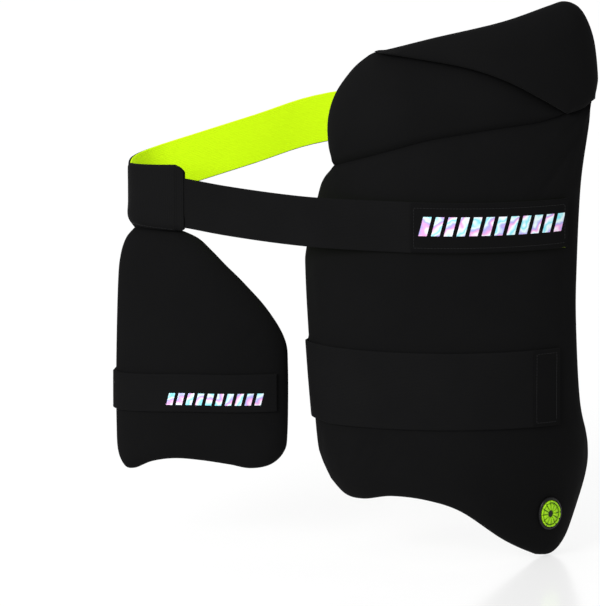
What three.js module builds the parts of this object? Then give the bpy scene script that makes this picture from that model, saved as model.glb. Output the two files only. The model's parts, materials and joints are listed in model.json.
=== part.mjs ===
import * as THREE from 'three';

// Cricket thigh guards: a large outer guard and a small inner guard that hang from one waist belt.
// Millimetres, +Z up. The guards face -Y, and the origin is the middle of the wearer's waist.
// Inside the file, x runs across from the outer guard's centre line, y runs back from its foremost
// point, and z is the height above the belt's front stretch. The group at the end moves all of it.

// Waist belt
const waistWidth = 424;
const waistDepth = 256;
const waistToGuard = 92;
const beltWidth = 48;
const beltThickness = 1.6;
const liningThickness = 1.2;
const liningMargin = 0.5;
const beltRise = 64;
const beltEndInset = 33;
const beltTabLength = 136;
const beltTabMargin = 1;
const beltReturnInset = 2;
const tabThickness = 1.2;

// Outer guard
const guardHalfWidth = 135;
const guardHeight = 538;
const guardCurlDepth = 105;
const guardCurlMargin = 15;
const guardLean = 0.12;
const guardBowRadius = 2500;
const guardBowCentre = -40;
const guardHemTuck = 0.2;
const guardHemStart = -150;
const guardHemReach = 170;
const mainThickness = 14;
const hipThickness = 18;
const flapThickness = 22;
const guardBacking = 5;
const guardFrontRound = 34;
const guardBackRound = 6;

// Outer guard's leg strap
const outerStrapWidth = 75;
const outerStrapDrop = 158;
const outerStrapThickness = 2;
const outerStrapEndInset = 25;
const outerStrapTabLength = 28;
const outerLoopDepth = 118;
const outerLoopInset = 8;
const loopStandoff = 22;

// Badge on the outer guard
const badgeDiameter = 34;
const badgeThickness = 3;
const emblemDiameter = 28;
const emblemThickness = 1;
const badgeSides = 20;
const badgeSideInset = 47;
const badgeTipRise = 46;

// Inner guard
const innerHalfWidth = 82;
const innerHeight = 234;
const innerTopDrop = 18;
const innerAcross = -238;
const innerBack = 62;
const innerYaw = 8;
const innerCurlDepth = 60;
const innerCurlMargin = 32;
const innerThickness = 11;
const innerBacking = 4;
const innerFrontRound = 22;
const innerBackRound = 5;

// Inner guard's leg strap and the hanger that carries the guard on the belt
const innerStrapWidth = 37;
const innerStrapDrop = 177;
const innerStrapThickness = 1.8;
const innerStrapEndInset = 7;
const innerLoopDepth = 92;
const innerLoopInset = 19;
const loopLead = 5;
const hangerThickness = 1.6;
const hangerRise = 9;

// Clearances: between layers that lie on each other, and between panels along a sewn crease
const layerGap = 0.4;
const bandGap = 0.7;
const bandStep = 11;
const seamGap = 0.8;

// A shell's curl eases off where it would face sideways: from which share of its half width, and how fast
const curlLimit = 0.9;
const curlEase = 0.085;

// How high a panel's edge stands, as a share of its thickness: at a free rim and along each crease
const freeRim = 0.1;
const lowCreaseRim = 0.6;
const highCreaseUnder = 0.5;
const highCreaseOver = 0.8;
const hangerSeamRim = 0.35;

const table = (columns, ...lines) =>
  lines.map((line) => Object.fromEntries(columns.map((column, place) => [column, line[place]])));

// Outer guard's creases and rims: across is a share of its half width, up is a share of its height
const lowCrease = table(
  ['across', 'up'],
  [-0.78, 0.095], [-0.65, 0.108], [-0.38, 0.132], [-0.11, 0.153], [0.29, 0.171], [0.6, 0.181], [0.785, 0.193],
);
const creaseTail = table(['across', 'up'], [0.785, 0.193], [0.9, 0.199], [0.97, 0.214]);
const highCrease = table(
  ['across', 'up'],
  [-0.5, 0.3], [-0.25, 0.295], [0.1, 0.281], [0.37, 0.257], [0.62, 0.221], [0.785, 0.193],
);
const hipRim = table(
  ['across', 'up'],
  [-0.78, 0.095], [-0.815, 0.123], [-0.815, 0.173], [-0.765, 0.22], [-0.665, 0.266], [-0.56, 0.292], [-0.5, 0.3],
);
const flapRim = table(
  ['across', 'up'],
  [-0.5, 0.3], [-0.11, 0.329], [0.36, 0.357], [0.67, 0.381], [0.8, 0.388], [0.9, 0.373],
  [0.97, 0.325], [1, 0.26], [0.995, 0.23], [0.97, 0.214],
);
const rightRim = table(
  ['across', 'up'],
  [0.97, 0.214], [0.945, 0.17], [0.89, 0.06], [0.865, -0.09], [0.865, -0.19], [0.9, -0.335],
  [0.97, -0.425], [0.965, -0.48], [0.89, -0.544], [0.8, -0.595], [0.72, -0.615], [0.63, -0.612],
);
const bottomRim = table(
  ['across', 'up'],
  [0.63, -0.612], [0.4, -0.578], [0.1, -0.523], [-0.14, -0.502], [-0.385, -0.497], [-0.58, -0.508],
  [-0.7, -0.505], [-0.8, -0.48],
);
const leftRim = table(
  ['across', 'up'],
  [-0.8, -0.48], [-0.87, -0.44], [-0.905, -0.397], [-0.95, -0.25], [-0.97, -0.107], [-0.955, -0.057],
  [-0.88, 0.033], [-0.845, 0.07], [-0.78, 0.095],
);

// Inner guard's outline: across is a share of its half width, down is a share of its height
const innerTop = table(['across', 'down'], [-0.23, 0], [-0.53, 0], [-0.82, 0]);
const innerRim = table(
  ['across', 'down'],
  [-0.82, 0], [-0.89, 0.045], [-0.94, 0.12], [-0.965, 0.24], [-0.985, 0.58], [-0.99, 0.82], [-0.98, 0.94],
  [-0.91, 1.01], [-0.8, 1.02], [-0.58, 0.98], [-0.31, 0.957], [0, 0.96], [0.33, 0.98], [0.57, 1],
  [0.8, 0.985], [0.95, 0.93], [0.99, 0.84], [0.995, 0.57], [0.95, 0.455], [0.74, 0.33], [0.47, 0.218],
  [0.26, 0.14], [0.1, 0.08], [-0.05, 0.03], [-0.23, 0],
);

// Belt's free stretch seen from above, from where it leaves the outer guard's front, round the waist
// and back to the guard's inner face. across and back are shares of the waist's half width and half
// depth from its middle, rise is a share of how much higher the belt lies at the back.
const beltRoute = table(
  ['across', 'back', 'rise'],
  [-0.12, -0.85, 0.02], [-0.31, -0.74, 0.04], [-0.57, -0.595, 0.11], [-0.755, -0.48, 0.18],
  [-0.885, -0.395, 0.2], [-0.965, -0.315, 0.23], [-0.985, -0.21, 0.25], [-0.99, -0.05, 0.28], [-0.97, 0.11, 0.3],
  [-0.9, 0.26, 0.35], [-0.685, 0.44, 0.52], [-0.435, 0.625, 0.72], [-0.165, 0.83, 0.94], [0.2, 1.01, 1.04],
  [0.575, 1.01, 1.02], [0.86, 0.8, 0.91], [0.985, 0.4, 0.81], [1, -0.02, 0.75], [0.97, -0.34, 0.72],
);

// Rows of that stretch between which the inner guard's hanger is folded over the belt
const hangerFrom = 3;
const hangerTo = 5;

// Turn of a leg strap round a guard's outer edge: inset is a distance inwards from the edge, in
// millimetres, and lift is a share of the guard's front thickness
const strapTurnStart = 24;
const strapTurn = table(['inset', 'lift'], [12, 0.86], [4, 0.64], [0.5, 0.44], [-1.5, 0.12]);

// Return of a band to a guard's inner face: inset is a distance inwards from where the return
// starts, and clear is how far the band stands off the inner face, both in millimetres
const bandReturn = table(['inset', 'clear'], [0, 6], [6, 3], [14, 1.8], [24, 1.4], [34, 1.2]);

const black = { color: 0x141415, roughness: 0.85, metalness: 0 };
const blackElastic = { color: 0x121213, roughness: 0.75, metalness: 0 };
const lime = { color: 0xc4ff14, roughness: 0.7, metalness: 0 };
const blackRubber = { color: 0x0c0c0d, roughness: 0.35, metalness: 0 };
const limeRubber = { color: 0xb6f01c, roughness: 0.45, metalness: 0 };

const vector = (x, y, z) => new THREE.Vector3(x, y, z);

// A guard's seam surface: an upright shell whose two sides curl back. It bows gently along its
// height, and its lower end can curl more tightly.
class CurledShell {
  constructor({ seamDepth, curlDepth, curlHalfWidth, lean, bowRadius, bowCentre, hemTuck, hemStart, hemReach }) {
    Object.assign(this, {
      seamDepth, curlDepth, curlHalfWidth, lean, bowRadius, bowCentre, hemTuck, hemStart, hemReach,
    });
  }

  depthAt(x, z) {
    const tuck = this.hemTuck * THREE.MathUtils.smoothstep(this.hemStart - z, 0, this.hemReach);
    const share = Math.abs(x - this.lean * Math.max(0, z)) / (this.curlHalfWidth * (1 - tuck));
    const over = Math.max(share - curlLimit, 0);
    const across = Math.min(share, curlLimit) + curlEase * (1 - Math.exp(-over / curlEase));
    const curl = this.curlDepth * (1 - Math.sqrt(1 - across ** 2));
    const bow = (z - this.bowCentre) ** 2 / (2 * this.bowRadius);
    return this.seamDepth + curl + bow;
  }

  normalAt(x, z) {
    const step = 0.5;
    const slopeX = (this.depthAt(x + step, z) - this.depthAt(x - step, z)) / (2 * step);
    const slopeZ = (this.depthAt(x, z + step) - this.depthAt(x, z - step)) / (2 * step);
    return vector(slopeX, -1, slopeZ).normalize();
  }

  // Point of the shell, moved towards the front by lift, or towards the leg where lift is negative
  pointAt(x, z, lift = 0) {
    return vector(x, this.depthAt(x, z), z).addScaledVector(this.normalAt(x, z), lift);
  }
}

const guardShell = new CurledShell({
  seamDepth: mainThickness,
  curlDepth: guardCurlDepth,
  curlHalfWidth: guardHalfWidth + guardCurlMargin,
  lean: guardLean,
  bowRadius: guardBowRadius,
  bowCentre: guardBowCentre,
  hemTuck: guardHemTuck,
  hemStart: guardHemStart,
  hemReach: guardHemReach,
});

const innerShell = new CurledShell({
  seamDepth: innerThickness,
  curlDepth: innerCurlDepth,
  curlHalfWidth: innerHalfWidth + innerCurlMargin,
  lean: 0,
  bowRadius: guardBowRadius,
  bowCentre: -innerTopDrop - innerHeight / 2,
  hemTuck: 0,
  hemStart: 0,
  hemReach: 1,
});

// Mesh of one closed solid, with its faces turned outwards
function solidMesh(name, points, faces, finish) {
  let volume = 0;
  for (const [a, b, c] of faces) {
    volume += points[a].dot(points[b].clone().cross(points[c]));
  }
  const outward = volume > 0 ? faces : faces.map(([a, b, c]) => [a, c, b]);
  const geometry = new THREE.BufferGeometry();
  geometry.setAttribute('position', new THREE.Float32BufferAttribute(points.flatMap((p) => p.toArray()), 3));
  geometry.setIndex(outward.flat());
  geometry.computeVertexNormals();
  const mesh = new THREE.Mesh(geometry, new THREE.MeshStandardMaterial(finish));
  mesh.name = name;
  return mesh;
}

// Solid between two sheets of points that have the same rows and columns
function sheetSolid(name, outer, inner, finish) {
  const rows = outer.length;
  const columns = outer[0].length;
  const points = [...outer.flat(), ...inner.flat()];
  const outerIndex = (row, column) => row * columns + column;
  const innerIndex = (row, column) => rows * columns + row * columns + column;
  const faces = [];
  const addQuad = (a, b, c, d) => faces.push([a, b, c], [a, c, d]);
  for (let row = 0; row < rows - 1; row += 1) {
    for (let column = 0; column < columns - 1; column += 1) {
      addQuad(
        outerIndex(row, column), outerIndex(row, column + 1),
        outerIndex(row + 1, column + 1), outerIndex(row + 1, column),
      );
      addQuad(
        innerIndex(row, column), innerIndex(row + 1, column),
        innerIndex(row + 1, column + 1), innerIndex(row, column + 1),
      );
    }
    const last = columns - 1;
    addQuad(outerIndex(row, 0), outerIndex(row + 1, 0), innerIndex(row + 1, 0), innerIndex(row, 0));
    addQuad(innerIndex(row, last), innerIndex(row + 1, last), outerIndex(row + 1, last), outerIndex(row, last));
  }
  for (let column = 0; column < columns - 1; column += 1) {
    const last = rows - 1;
    addQuad(innerIndex(0, column), innerIndex(0, column + 1), outerIndex(0, column + 1), outerIndex(0, column));
    addQuad(
      outerIndex(last, column), outerIndex(last, column + 1),
      innerIndex(last, column + 1), innerIndex(last, column),
    );
  }
  return solidMesh(name, points, faces, finish);
}

// Stretch of an outline as points with the rim share that its edge has; its last point is left to
// the stretch that follows
function outlineStretch(corners, count, rim) {
  const curve = new THREE.SplineCurve(corners.map((corner) => new THREE.Vector2(corner.x, corner.z)));
  return curve.getSpacedPoints(count).slice(0, -1).map((point) => ({ x: point.x, z: point.y, rim }));
}

// Outline moved inwards by a distance, so that neighbours along a crease keep a gap
function insetOutline(outline, distance) {
  let area = 0;
  outline.forEach((point, place) => {
    const next = outline[(place + 1) % outline.length];
    area += point.x * next.z - next.x * point.z;
  });
  const inward = Math.sign(area) * distance;
  return outline.map((point, place) => {
    const before = outline.at(place - 1);
    const after = outline[(place + 1) % outline.length];
    const along = new THREE.Vector2(after.x - before.x, after.z - before.z).normalize();
    return { x: point.x - along.y * inward, z: point.z + along.x * inward, rim: point.rim };
  });
}

const between = (a, b, share) => ({
  x: THREE.MathUtils.lerp(a.x, b.x, share),
  z: THREE.MathUtils.lerp(a.z, b.z, share),
});

// Padding on a shell inside an outline: full thickness in the middle, rounded down to the rim share
// along the outline. front and back give the thickness and the breadth of the rounding.
class Padding {
  constructor({ shell, outline, front, back }) {
    Object.assign(this, { shell, outline, front, back });
    this.rimPoints = outline.map((point) => shell.pointAt(point.x, point.z));
    this.edges = this.rimPoints.map(
      (point, place) => new THREE.Line3(point, this.rimPoints[(place + 1) % outline.length]),
    );
  }

  // Share of the full thickness at a place, for a rounding of a given breadth
  heightShare(x, z, round) {
    const point = this.shell.pointAt(x, z);
    const nearest = vector(0, 0, 0);
    let distance = Infinity;
    for (const edge of this.edges) {
      edge.closestPointToPoint(point, true, nearest);
      distance = Math.min(distance, nearest.distanceTo(point));
    }
    let weights = 0;
    let rim = 0;
    this.rimPoints.forEach((rimPoint, place) => {
      const weight = 1 / (rimPoint.distanceTo(point) ** 4 + 1e-6);
      weights += weight;
      rim += weight * this.outline[place].rim;
    });
    rim /= weights;
    return rim + (1 - rim) * Math.sqrt(1 - (1 - Math.min(distance / round, 1)) ** 2);
  }

  frontAt(x, z, lift = 0) {
    const { thickness, round } = this.front;
    return this.shell.pointAt(x, z, thickness * this.heightShare(x, z, round) + lift);
  }

  backAt(x, z, clear = 0) {
    const { thickness, round } = this.back;
    return this.shell.pointAt(x, z, -thickness * this.heightShare(x, z, round) - clear);
  }
}

// Panel whose rows run from the outline to one middle point
function roundPanel(name, padding, { centre, frontRings, backRings, shares }, finish) {
  const { outline } = padding;
  const count = outline.length;
  const points = [];
  const faces = [];
  const addFace = (rings, place) => {
    const first = points.length;
    const rows = outline.map((point) => {
      const reach = Math.hypot(point.x - centre.x, point.z - centre.z);
      const start = Math.min(rings.at(-1) / reach, 0.45);
      const near = rings.map((ring) => (start * ring) / rings.at(-1));
      return [...near, ...shares.map((share) => start + share * (1 - start))];
    });
    const ringCount = rows[0].length;
    for (let ring = 0; ring < ringCount; ring += 1) {
      outline.forEach((point, spot) => {
        const { x, z } = between(point, centre, rows[spot][ring]);
        points.push(place(x, z));
      });
    }
    points.push(place(centre.x, centre.z));
    return { first, ringCount, middle: points.length - 1 };
  };
  const front = addFace(frontRings, (x, z) => padding.frontAt(x, z));
  const back = addFace(backRings, (x, z) => padding.backAt(x, z));
  for (let spot = 0; spot < count; spot += 1) {
    const next = (spot + 1) % count;
    for (const [face, a, b] of [[front, spot, next], [back, next, spot]]) {
      for (let ring = 0; ring < face.ringCount - 1; ring += 1) {
        const start = face.first + ring * count;
        faces.push([start + a, start + b, start + b + count], [start + a, start + b + count, start + a + count]);
      }
      const lastRing = face.first + (face.ringCount - 1) * count;
      faces.push([lastRing + a, lastRing + b, face.middle]);
    }
    faces.push([front.first + next, front.first + spot, back.first + spot]);
    faces.push([front.first + next, back.first + spot, back.first + next]);
  }
  return solidMesh(name, points, faces, finish);
}

// Panel between two edges that meet at both ends. The first half of its outline is one edge, the
// second half the other edge backwards. Cross rows lie at given distances from both edges.
function lensPanel(name, padding, { rings, middleRows }, finish) {
  const { outline } = padding;
  const stations = outline.length / 2;
  const crossShares = (low, high) => {
    const length = Math.hypot(high.x - low.x, high.z - low.z);
    const reach = Math.min(rings.at(-1) / length, 0.42);
    const near = rings.map((ring) => (reach * ring) / rings.at(-1));
    const middle = Array.from(
      { length: middleRows }, (_, row) => THREE.MathUtils.lerp(reach, 1 - reach, (row + 1) / (middleRows + 1)),
    );
    return [...near, ...middle, ...near.map((share) => 1 - share).reverse()];
  };
  const points = [];
  const faces = [];
  const addFace = (place) => {
    const rows = [];
    for (let station = 0; station <= stations; station += 1) {
      const low = outline[station];
      const high = outline[(2 * stations - station) % (2 * stations)];
      if (low === high) {
        points.push(place(low.x, low.z));
        rows.push(Array(2 * rings.length + middleRows).fill(points.length - 1));
      } else {
        rows.push(crossShares(low, high).map((share) => {
          const { x, z } = between(low, high, share);
          return points.push(place(x, z)) - 1;
        }));
      }
    }
    return rows;
  };
  const addTriangle = (a, b, c) => {
    if (a !== b && b !== c && c !== a) {
      faces.push([a, b, c]);
    }
  };
  const addQuad = (a, b, c, d) => {
    addTriangle(a, b, c);
    addTriangle(a, c, d);
  };
  const front = addFace((x, z) => padding.frontAt(x, z));
  const back = addFace((x, z) => padding.backAt(x, z));
  const last = front[0].length - 1;
  for (let station = 0; station < stations; station += 1) {
    const [near, far] = [front[station], front[station + 1]];
    const [nearBack, farBack] = [back[station], back[station + 1]];
    for (let row = 0; row < last; row += 1) {
      addQuad(near[row], far[row], far[row + 1], near[row + 1]);
      addQuad(nearBack[row], nearBack[row + 1], farBack[row + 1], farBack[row]);
    }
    addQuad(near[0], nearBack[0], farBack[0], far[0]);
    addQuad(near[last], far[last], farBack[last], nearBack[last]);
  }
  return solidMesh(name, points, faces, finish);
}

// Stations along a band whose lines stand upright. Its rows are functions that give the point at a
// side from -1, the lower edge, to 1, the upper edge.
function bandStations(rows, { from, to, perRow }, side) {
  const curve = new THREE.CatmullRomCurve3(rows.map((row) => row(side)), false, 'centripetal');
  const count = Math.max(1, Math.round((to - from) * perRow));
  return Array.from({ length: count + 1 }, (_, station) => {
    const place = (from + ((to - from) * station) / count) / (rows.length - 1);
    const tangent = curve.getTangent(place);
    const outward = vector(-tangent.y, tangent.x, 0).normalize();
    return { point: curve.getPoint(place), outward };
  });
}

// Layer of a band between two distances out from its rows
function bandLayer(name, rows, span, { innerFace, outerFace, sides = [-1, 0, 1] }, finish) {
  const lines = sides.map((side) => bandStations(rows, span, side));
  const face = (distance) =>
    lines[0].map((_, station) =>
      lines.map((line) => line[station].point.clone().addScaledVector(line[station].outward, distance)));
  return sheetSolid(name, face(outerFace), face(innerFace), finish);
}

// Even steps from one value to another, no longer than a given step
function evenSteps(start, end, longest) {
  const count = Math.max(1, Math.ceil(Math.abs(end - start) / longest));
  return Array.from({ length: count + 1 }, (_, place) => THREE.MathUtils.lerp(start, end, place / count));
}

// Where an outline's left edge (side -1) or right edge (side 1) lies at a height
function edgeAcross(outline, z, side) {
  let reach = -Infinity;
  outline.forEach((point, place) => {
    const next = outline[(place + 1) % outline.length];
    if (point.z !== next.z && (point.z - z) * (next.z - z) <= 0) {
      const share = (z - point.z) / (next.z - point.z);
      reach = Math.max(reach, side * between(point, next, share).x);
    }
  });
  return side * reach;
}

// Rows that bring a band of some stack of layers to a guard's inner face, from a start inside its
// right edge
function returnRows(padding, heightAt, start, stack) {
  return bandReturn.map(({ inset, clear }) => (side) => {
    const z = heightAt(side);
    const x = edgeAcross(padding.outline, z, 1) - start - inset;
    return padding.backAt(x, z, layerGap + stack + clear);
  });
}

// Outer guard

const guardCorners = (rows) => rows.map((row) => ({ x: row.across * guardHalfWidth, z: row.up * guardHeight }));
const backwards = (rows) => rows.toReversed();

const lowCreaseCount = 20;
const highCreaseCount = 13;
const creaseTailCount = 3;
const lowCreaseStretch = outlineStretch(guardCorners(lowCrease), lowCreaseCount, lowCreaseRim);
const creaseTailStretch = outlineStretch(guardCorners(creaseTail), creaseTailCount, lowCreaseRim);

const guardPadding = (frontThickness, outline) =>
  new Padding({
    shell: guardShell,
    outline: insetOutline(outline, seamGap / 2),
    front: { thickness: frontThickness, round: guardFrontRound },
    back: { thickness: guardBacking, round: guardBackRound },
  });
const mainPadding = guardPadding(mainThickness, [
  ...lowCreaseStretch,
  ...creaseTailStretch,
  ...outlineStretch(guardCorners(rightRim), 25, freeRim),
  ...outlineStretch(guardCorners(bottomRim), 12, freeRim),
  ...outlineStretch(guardCorners(leftRim), 16, freeRim),
]);
const hipPadding = guardPadding(hipThickness, [
  ...lowCreaseStretch,
  ...outlineStretch(guardCorners(backwards(highCrease)), highCreaseCount, highCreaseUnder),
  ...outlineStretch(guardCorners(backwards(hipRim)), lowCreaseCount - highCreaseCount, freeRim),
]);
const flapPadding = guardPadding(flapThickness, [
  ...outlineStretch(guardCorners(highCrease), highCreaseCount, highCreaseOver),
  ...creaseTailStretch,
  ...outlineStretch(guardCorners(backwards(flapRim)), highCreaseCount + creaseTailCount, freeRim),
]);

function outerGuardPanels() {
  const rings = [0, 0.04, 0.18, 0.45, 1].map((share) => share * guardFrontRound);
  const main = roundPanel('outer_main_pad', mainPadding, {
    centre: { x: 0, z: -0.18 * guardHeight },
    frontRings: [0, 0.04, 0.18, 0.42, 0.7, 1].map((share) => share * guardFrontRound),
    backRings: [0, 0.15, 0.6, 1].map((share) => share * guardFrontRound),
    shares: [0.22, 0.44, 0.66, 0.86],
  }, black);
  const hip = lensPanel('outer_hip_panel', hipPadding, { rings, middleRows: 1 }, black);
  const flap = lensPanel('outer_top_flap', flapPadding, { rings, middleRows: 1 }, black);
  return [main, hip, flap];
}

// Round badge low on the outer guard: a rubber base with a raised emblem, both following the pad
function badgePieces() {
  const tip = Math.min(...mainPadding.outline.map((point) => point.z));
  const centre = { x: guardHalfWidth - badgeSideInset, z: tip + badgeTipRise };
  const step = 1;
  const slope = mainPadding.frontAt(centre.x + step, centre.z).sub(mainPadding.frontAt(centre.x - step, centre.z));
  const facing = (2 * step) / slope.length();
  const discPadding = (diameter, lift, thickness) => {
    const outline = Array.from({ length: badgeSides }, (_, place) => {
      const turn = (place / badgeSides) * 2 * Math.PI;
      return {
        x: centre.x + (diameter / 2) * facing * Math.cos(turn),
        z: centre.z + (diameter / 2) * Math.sin(turn),
        rim: 0.45,
      };
    });
    return new Padding({
      shell: { pointAt: (x, z, rise = 0) => mainPadding.frontAt(x, z, lift + rise) },
      outline,
      front: { thickness, round: thickness },
      back: { thickness: 0, round: 1 },
    });
  };
  const baseLift = layerGap;
  const emblemLift = baseLift + badgeThickness + layerGap;
  const base = roundPanel(
    'outer_badge_base', discPadding(badgeDiameter, baseLift, badgeThickness),
    { centre, frontRings: [0, 1, 3], backRings: [0, 1], shares: [0.5] }, blackRubber,
  );
  const emblem = roundPanel(
    'outer_badge_emblem', discPadding(emblemDiameter, emblemLift, emblemThickness),
    { centre, frontRings: [0, 1], backRings: [0, 1], shares: [0.5] }, limeRubber,
  );
  return [base, emblem];
}

// Waist belt. Its rows give the inner face of the lining, and each layer lies further out.

const beltInner = liningThickness + layerGap;
const beltOuter = beltInner + beltThickness;
const beltTabInner = beltOuter + layerGap;
const beltTabOuter = beltTabInner + tabThickness;

const beltEnd = guardHalfWidth - beltEndInset;
const beltLeaves = beltEnd - beltTabLength;
const beltFrontSteps = evenSteps(beltEnd, beltLeaves, bandStep);

function beltRows(width) {
  const upTo = (side) => (side * width) / 2;
  const onFront = beltFrontSteps.map((x) => (side) => mainPadding.frontAt(x, upTo(side), bandGap));
  const free = beltRoute.map((row) => (side) =>
    vector(
      row.across * (waistWidth / 2) - waistToGuard,
      (row.back + 1) * (waistDepth / 2),
      row.rise * beltRise + upTo(side),
    ));
  const seatHeight = beltRoute.at(-1).rise * beltRise;
  return [...onFront, ...free, ...returnRows(mainPadding, (side) => seatHeight + upTo(side), beltReturnInset, beltOuter)];
}

function beltPieces() {
  const rows = beltRows(beltWidth);
  const whole = { from: 0, to: rows.length - 1, perRow: 2 };
  const tabSpan = { from: 0, to: beltFrontSteps.length - 1, perRow: 2 };
  const belt = bandLayer('waist_belt', rows, whole, { innerFace: beltInner, outerFace: beltOuter }, blackElastic);
  const lining = bandLayer(
    'waist_belt_lining', beltRows(beltWidth - 2 * liningMargin), whole,
    { innerFace: 0, outerFace: liningThickness }, lime,
  );
  const tab = bandLayer(
    'belt_tab', beltRows(beltWidth - 2 * beltTabMargin), tabSpan,
    { innerFace: beltTabInner, outerFace: beltTabOuter }, black,
  );
  return [belt, lining, tab];
}

// Leg strap: along a guard's front from its right end to the left edge, round that edge, in a half
// ellipse behind the leg, and onto the guard's inner face inside its right edge
function strapRows(padding, { height, width, endInset, loopDepth, loopInset, stack }) {
  const { shell, outline, front } = padding;
  const heightAt = (side) => height + (side * width) / 2;
  const leftAt = (side) => edgeAcross(outline, heightAt(side), -1);
  const [left, right] = [leftAt(0), edgeAcross(outline, height, 1)];
  const onFront = evenSteps(right - endInset, left + strapTurnStart, bandStep).map((x) => (side) =>
    padding.frontAt(x, heightAt(side), bandGap));

  const turn = strapTurn.map(({ inset, lift }) => (side) => {
    const edge = shell.pointAt(leftAt(side), heightAt(side));
    const normal = shell.normalAt(left, height);
    return edge
      .addScaledVector(vector(-normal.y, normal.x, 0).normalize(), inset)
      .addScaledVector(normal, lift * front.thickness + layerGap)
      .setZ(heightAt(side));
  });

  const loopStart = shell.depthAt(left, height) + loopStandoff;
  const loopRight = right - loopInset;
  const loop = [0, 22, 45, 68, 90, 112, 135, 158, 176].map((degrees) => {
    const angle = THREE.MathUtils.degToRad(degrees);
    const y = loopStart + loopDepth * Math.sin(angle);
    return (side) => {
      const loopLeft = leftAt(side) - 1;
      const x = (loopLeft + loopRight) / 2 - ((loopRight - loopLeft) / 2) * Math.cos(angle);
      return vector(x, y, heightAt(side));
    };
  });
  return [...onFront, ...turn, ...loop, ...returnRows(padding, heightAt, loopInset - loopLead, stack)];
}

function outerStrapPieces() {
  const rows = strapRows(mainPadding, {
    height: -outerStrapDrop,
    width: outerStrapWidth,
    endInset: outerStrapEndInset,
    loopDepth: outerLoopDepth,
    loopInset: outerLoopInset,
    stack: outerStrapThickness,
  });
  const whole = { from: 0, to: rows.length - 1, perRow: 2 };
  const strap = bandLayer(
    'outer_strap', rows, whole, { innerFace: 0, outerFace: outerStrapThickness }, blackElastic,
  );
  const tabSpan = { from: 0, to: outerStrapTabLength / rows[0](0).distanceTo(rows[1](0)), perRow: 2 };
  const tabInner = outerStrapThickness + layerGap;
  const tab = bandLayer(
    'outer_strap_tab', rows, tabSpan,
    { innerFace: tabInner, outerFace: tabInner + tabThickness, sides: [-0.98, 0, 0.98] }, black,
  );
  return [strap, tab];
}

// Inner guard, in its own frame: x from its centre line, y back from its foremost point

const innerCorners = (rows) =>
  rows.map((row) => ({ x: row.across * innerHalfWidth, z: -innerTopDrop - row.down * innerHeight }));
const innerPadding = new Padding({
  shell: innerShell,
  outline: [
    ...outlineStretch(innerCorners(innerTop), 4, hangerSeamRim),
    ...outlineStretch(innerCorners(innerRim), 48, freeRim),
  ],
  front: { thickness: innerThickness, round: innerFrontRound },
  back: { thickness: innerBacking, round: innerBackRound },
});

function innerGuardPieces() {
  const pad = roundPanel('inner_pad', innerPadding, {
    centre: { x: -0.12 * innerHalfWidth, z: -innerTopDrop - 0.6 * innerHeight },
    frontRings: [0, 0.05, 0.2, 0.5, 1].map((share) => share * innerFrontRound),
    backRings: [0, 0.22, 1].map((share) => share * innerFrontRound),
    shares: [0.33, 0.66],
  }, black);
  const rows = strapRows(innerPadding, {
    height: -innerStrapDrop,
    width: innerStrapWidth,
    endInset: innerStrapEndInset,
    loopDepth: innerLoopDepth,
    loopInset: innerLoopInset,
    stack: innerStrapThickness,
  });
  const strap = bandLayer(
    'inner_strap', rows, { from: 0, to: rows.length - 1, perRow: 2 },
    { innerFace: 0, outerFace: innerStrapThickness }, blackElastic,
  );
  return [pad, strap];
}

// Hanger: a wide strap folded over the belt's front stretch, with both legs sewn to the inner
// guard's top edge. innerFrame takes a point of the inner guard to the outer guard's frame.
function hangerPiece(innerFrame) {
  const span = { from: beltFrontSteps.length + hangerFrom, to: beltFrontSteps.length + hangerTo, perRow: 2 };
  const stations = bandStations(beltRows(beltWidth), span, 0);
  const half = hangerThickness / 2;
  const frontOut = beltOuter + layerGap + half;
  const backOut = -layerGap - half;
  const foldMiddle = (frontOut + backOut) / 2;
  const foldReach = (frontOut - backOut) / 2;
  const footLift = half + layerGap;
  const foldHeight = stations[0].point.z + beltWidth / 2 + hangerRise;

  const columns = stations.map(({ point, outward }, place) => {
    const across = THREE.MathUtils.lerp(innerTop[0].across, innerTop.at(-1).across, place / (stations.length - 1));
    const foot = innerFrame(innerShell.pointAt(across * innerHalfWidth, -innerTopDrop));
    const footOut = innerFrame(innerShell.pointAt(across * innerHalfWidth, -innerTopDrop, footLift));
    const footward = vector(footOut.x - foot.x, footOut.y - foot.y, 0).normalize();
    foot.z += layerGap;
    const beltLow = point.z - beltWidth / 2 - layerGap;
    const leg = (out, sign) => [
      { at: foot.clone().addScaledVector(footward, sign * footLift), normal: footward.clone().multiplyScalar(sign) },
      ...[0, 0.5, 1].map((rise) => ({
        at: point.clone().setZ(THREE.MathUtils.lerp(beltLow, foldHeight, rise)).addScaledVector(outward, out),
        normal: outward.clone().multiplyScalar(sign),
      })),
    ];
    const fold = [30, 60, 90, 120, 150].map((degrees) => {
      const angle = THREE.MathUtils.degToRad(degrees);
      const normal = outward.clone().multiplyScalar(Math.cos(angle)).setZ(Math.sin(angle));
      const middle = point.clone().setZ(foldHeight).addScaledVector(outward, foldMiddle);
      return { at: middle.addScaledVector(normal, foldReach), normal };
    });
    return [...leg(frontOut, 1), ...fold, ...leg(backOut, -1).reverse()];
  });
  const face = (distance) =>
    columns[0].map((_, row) =>
      columns.map((column) => column[row].at.clone().addScaledVector(column[row].normal, distance)));
  return sheetSolid('inner_hanger', face(half), face(-half), blackElastic);
}

const innerGuard = new THREE.Group();
innerGuard.position.set(innerAcross, innerBack, 0);
innerGuard.rotation.z = -THREE.MathUtils.degToRad(innerYaw);
innerGuard.add(...innerGuardPieces());
innerGuard.updateMatrix();

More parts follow.
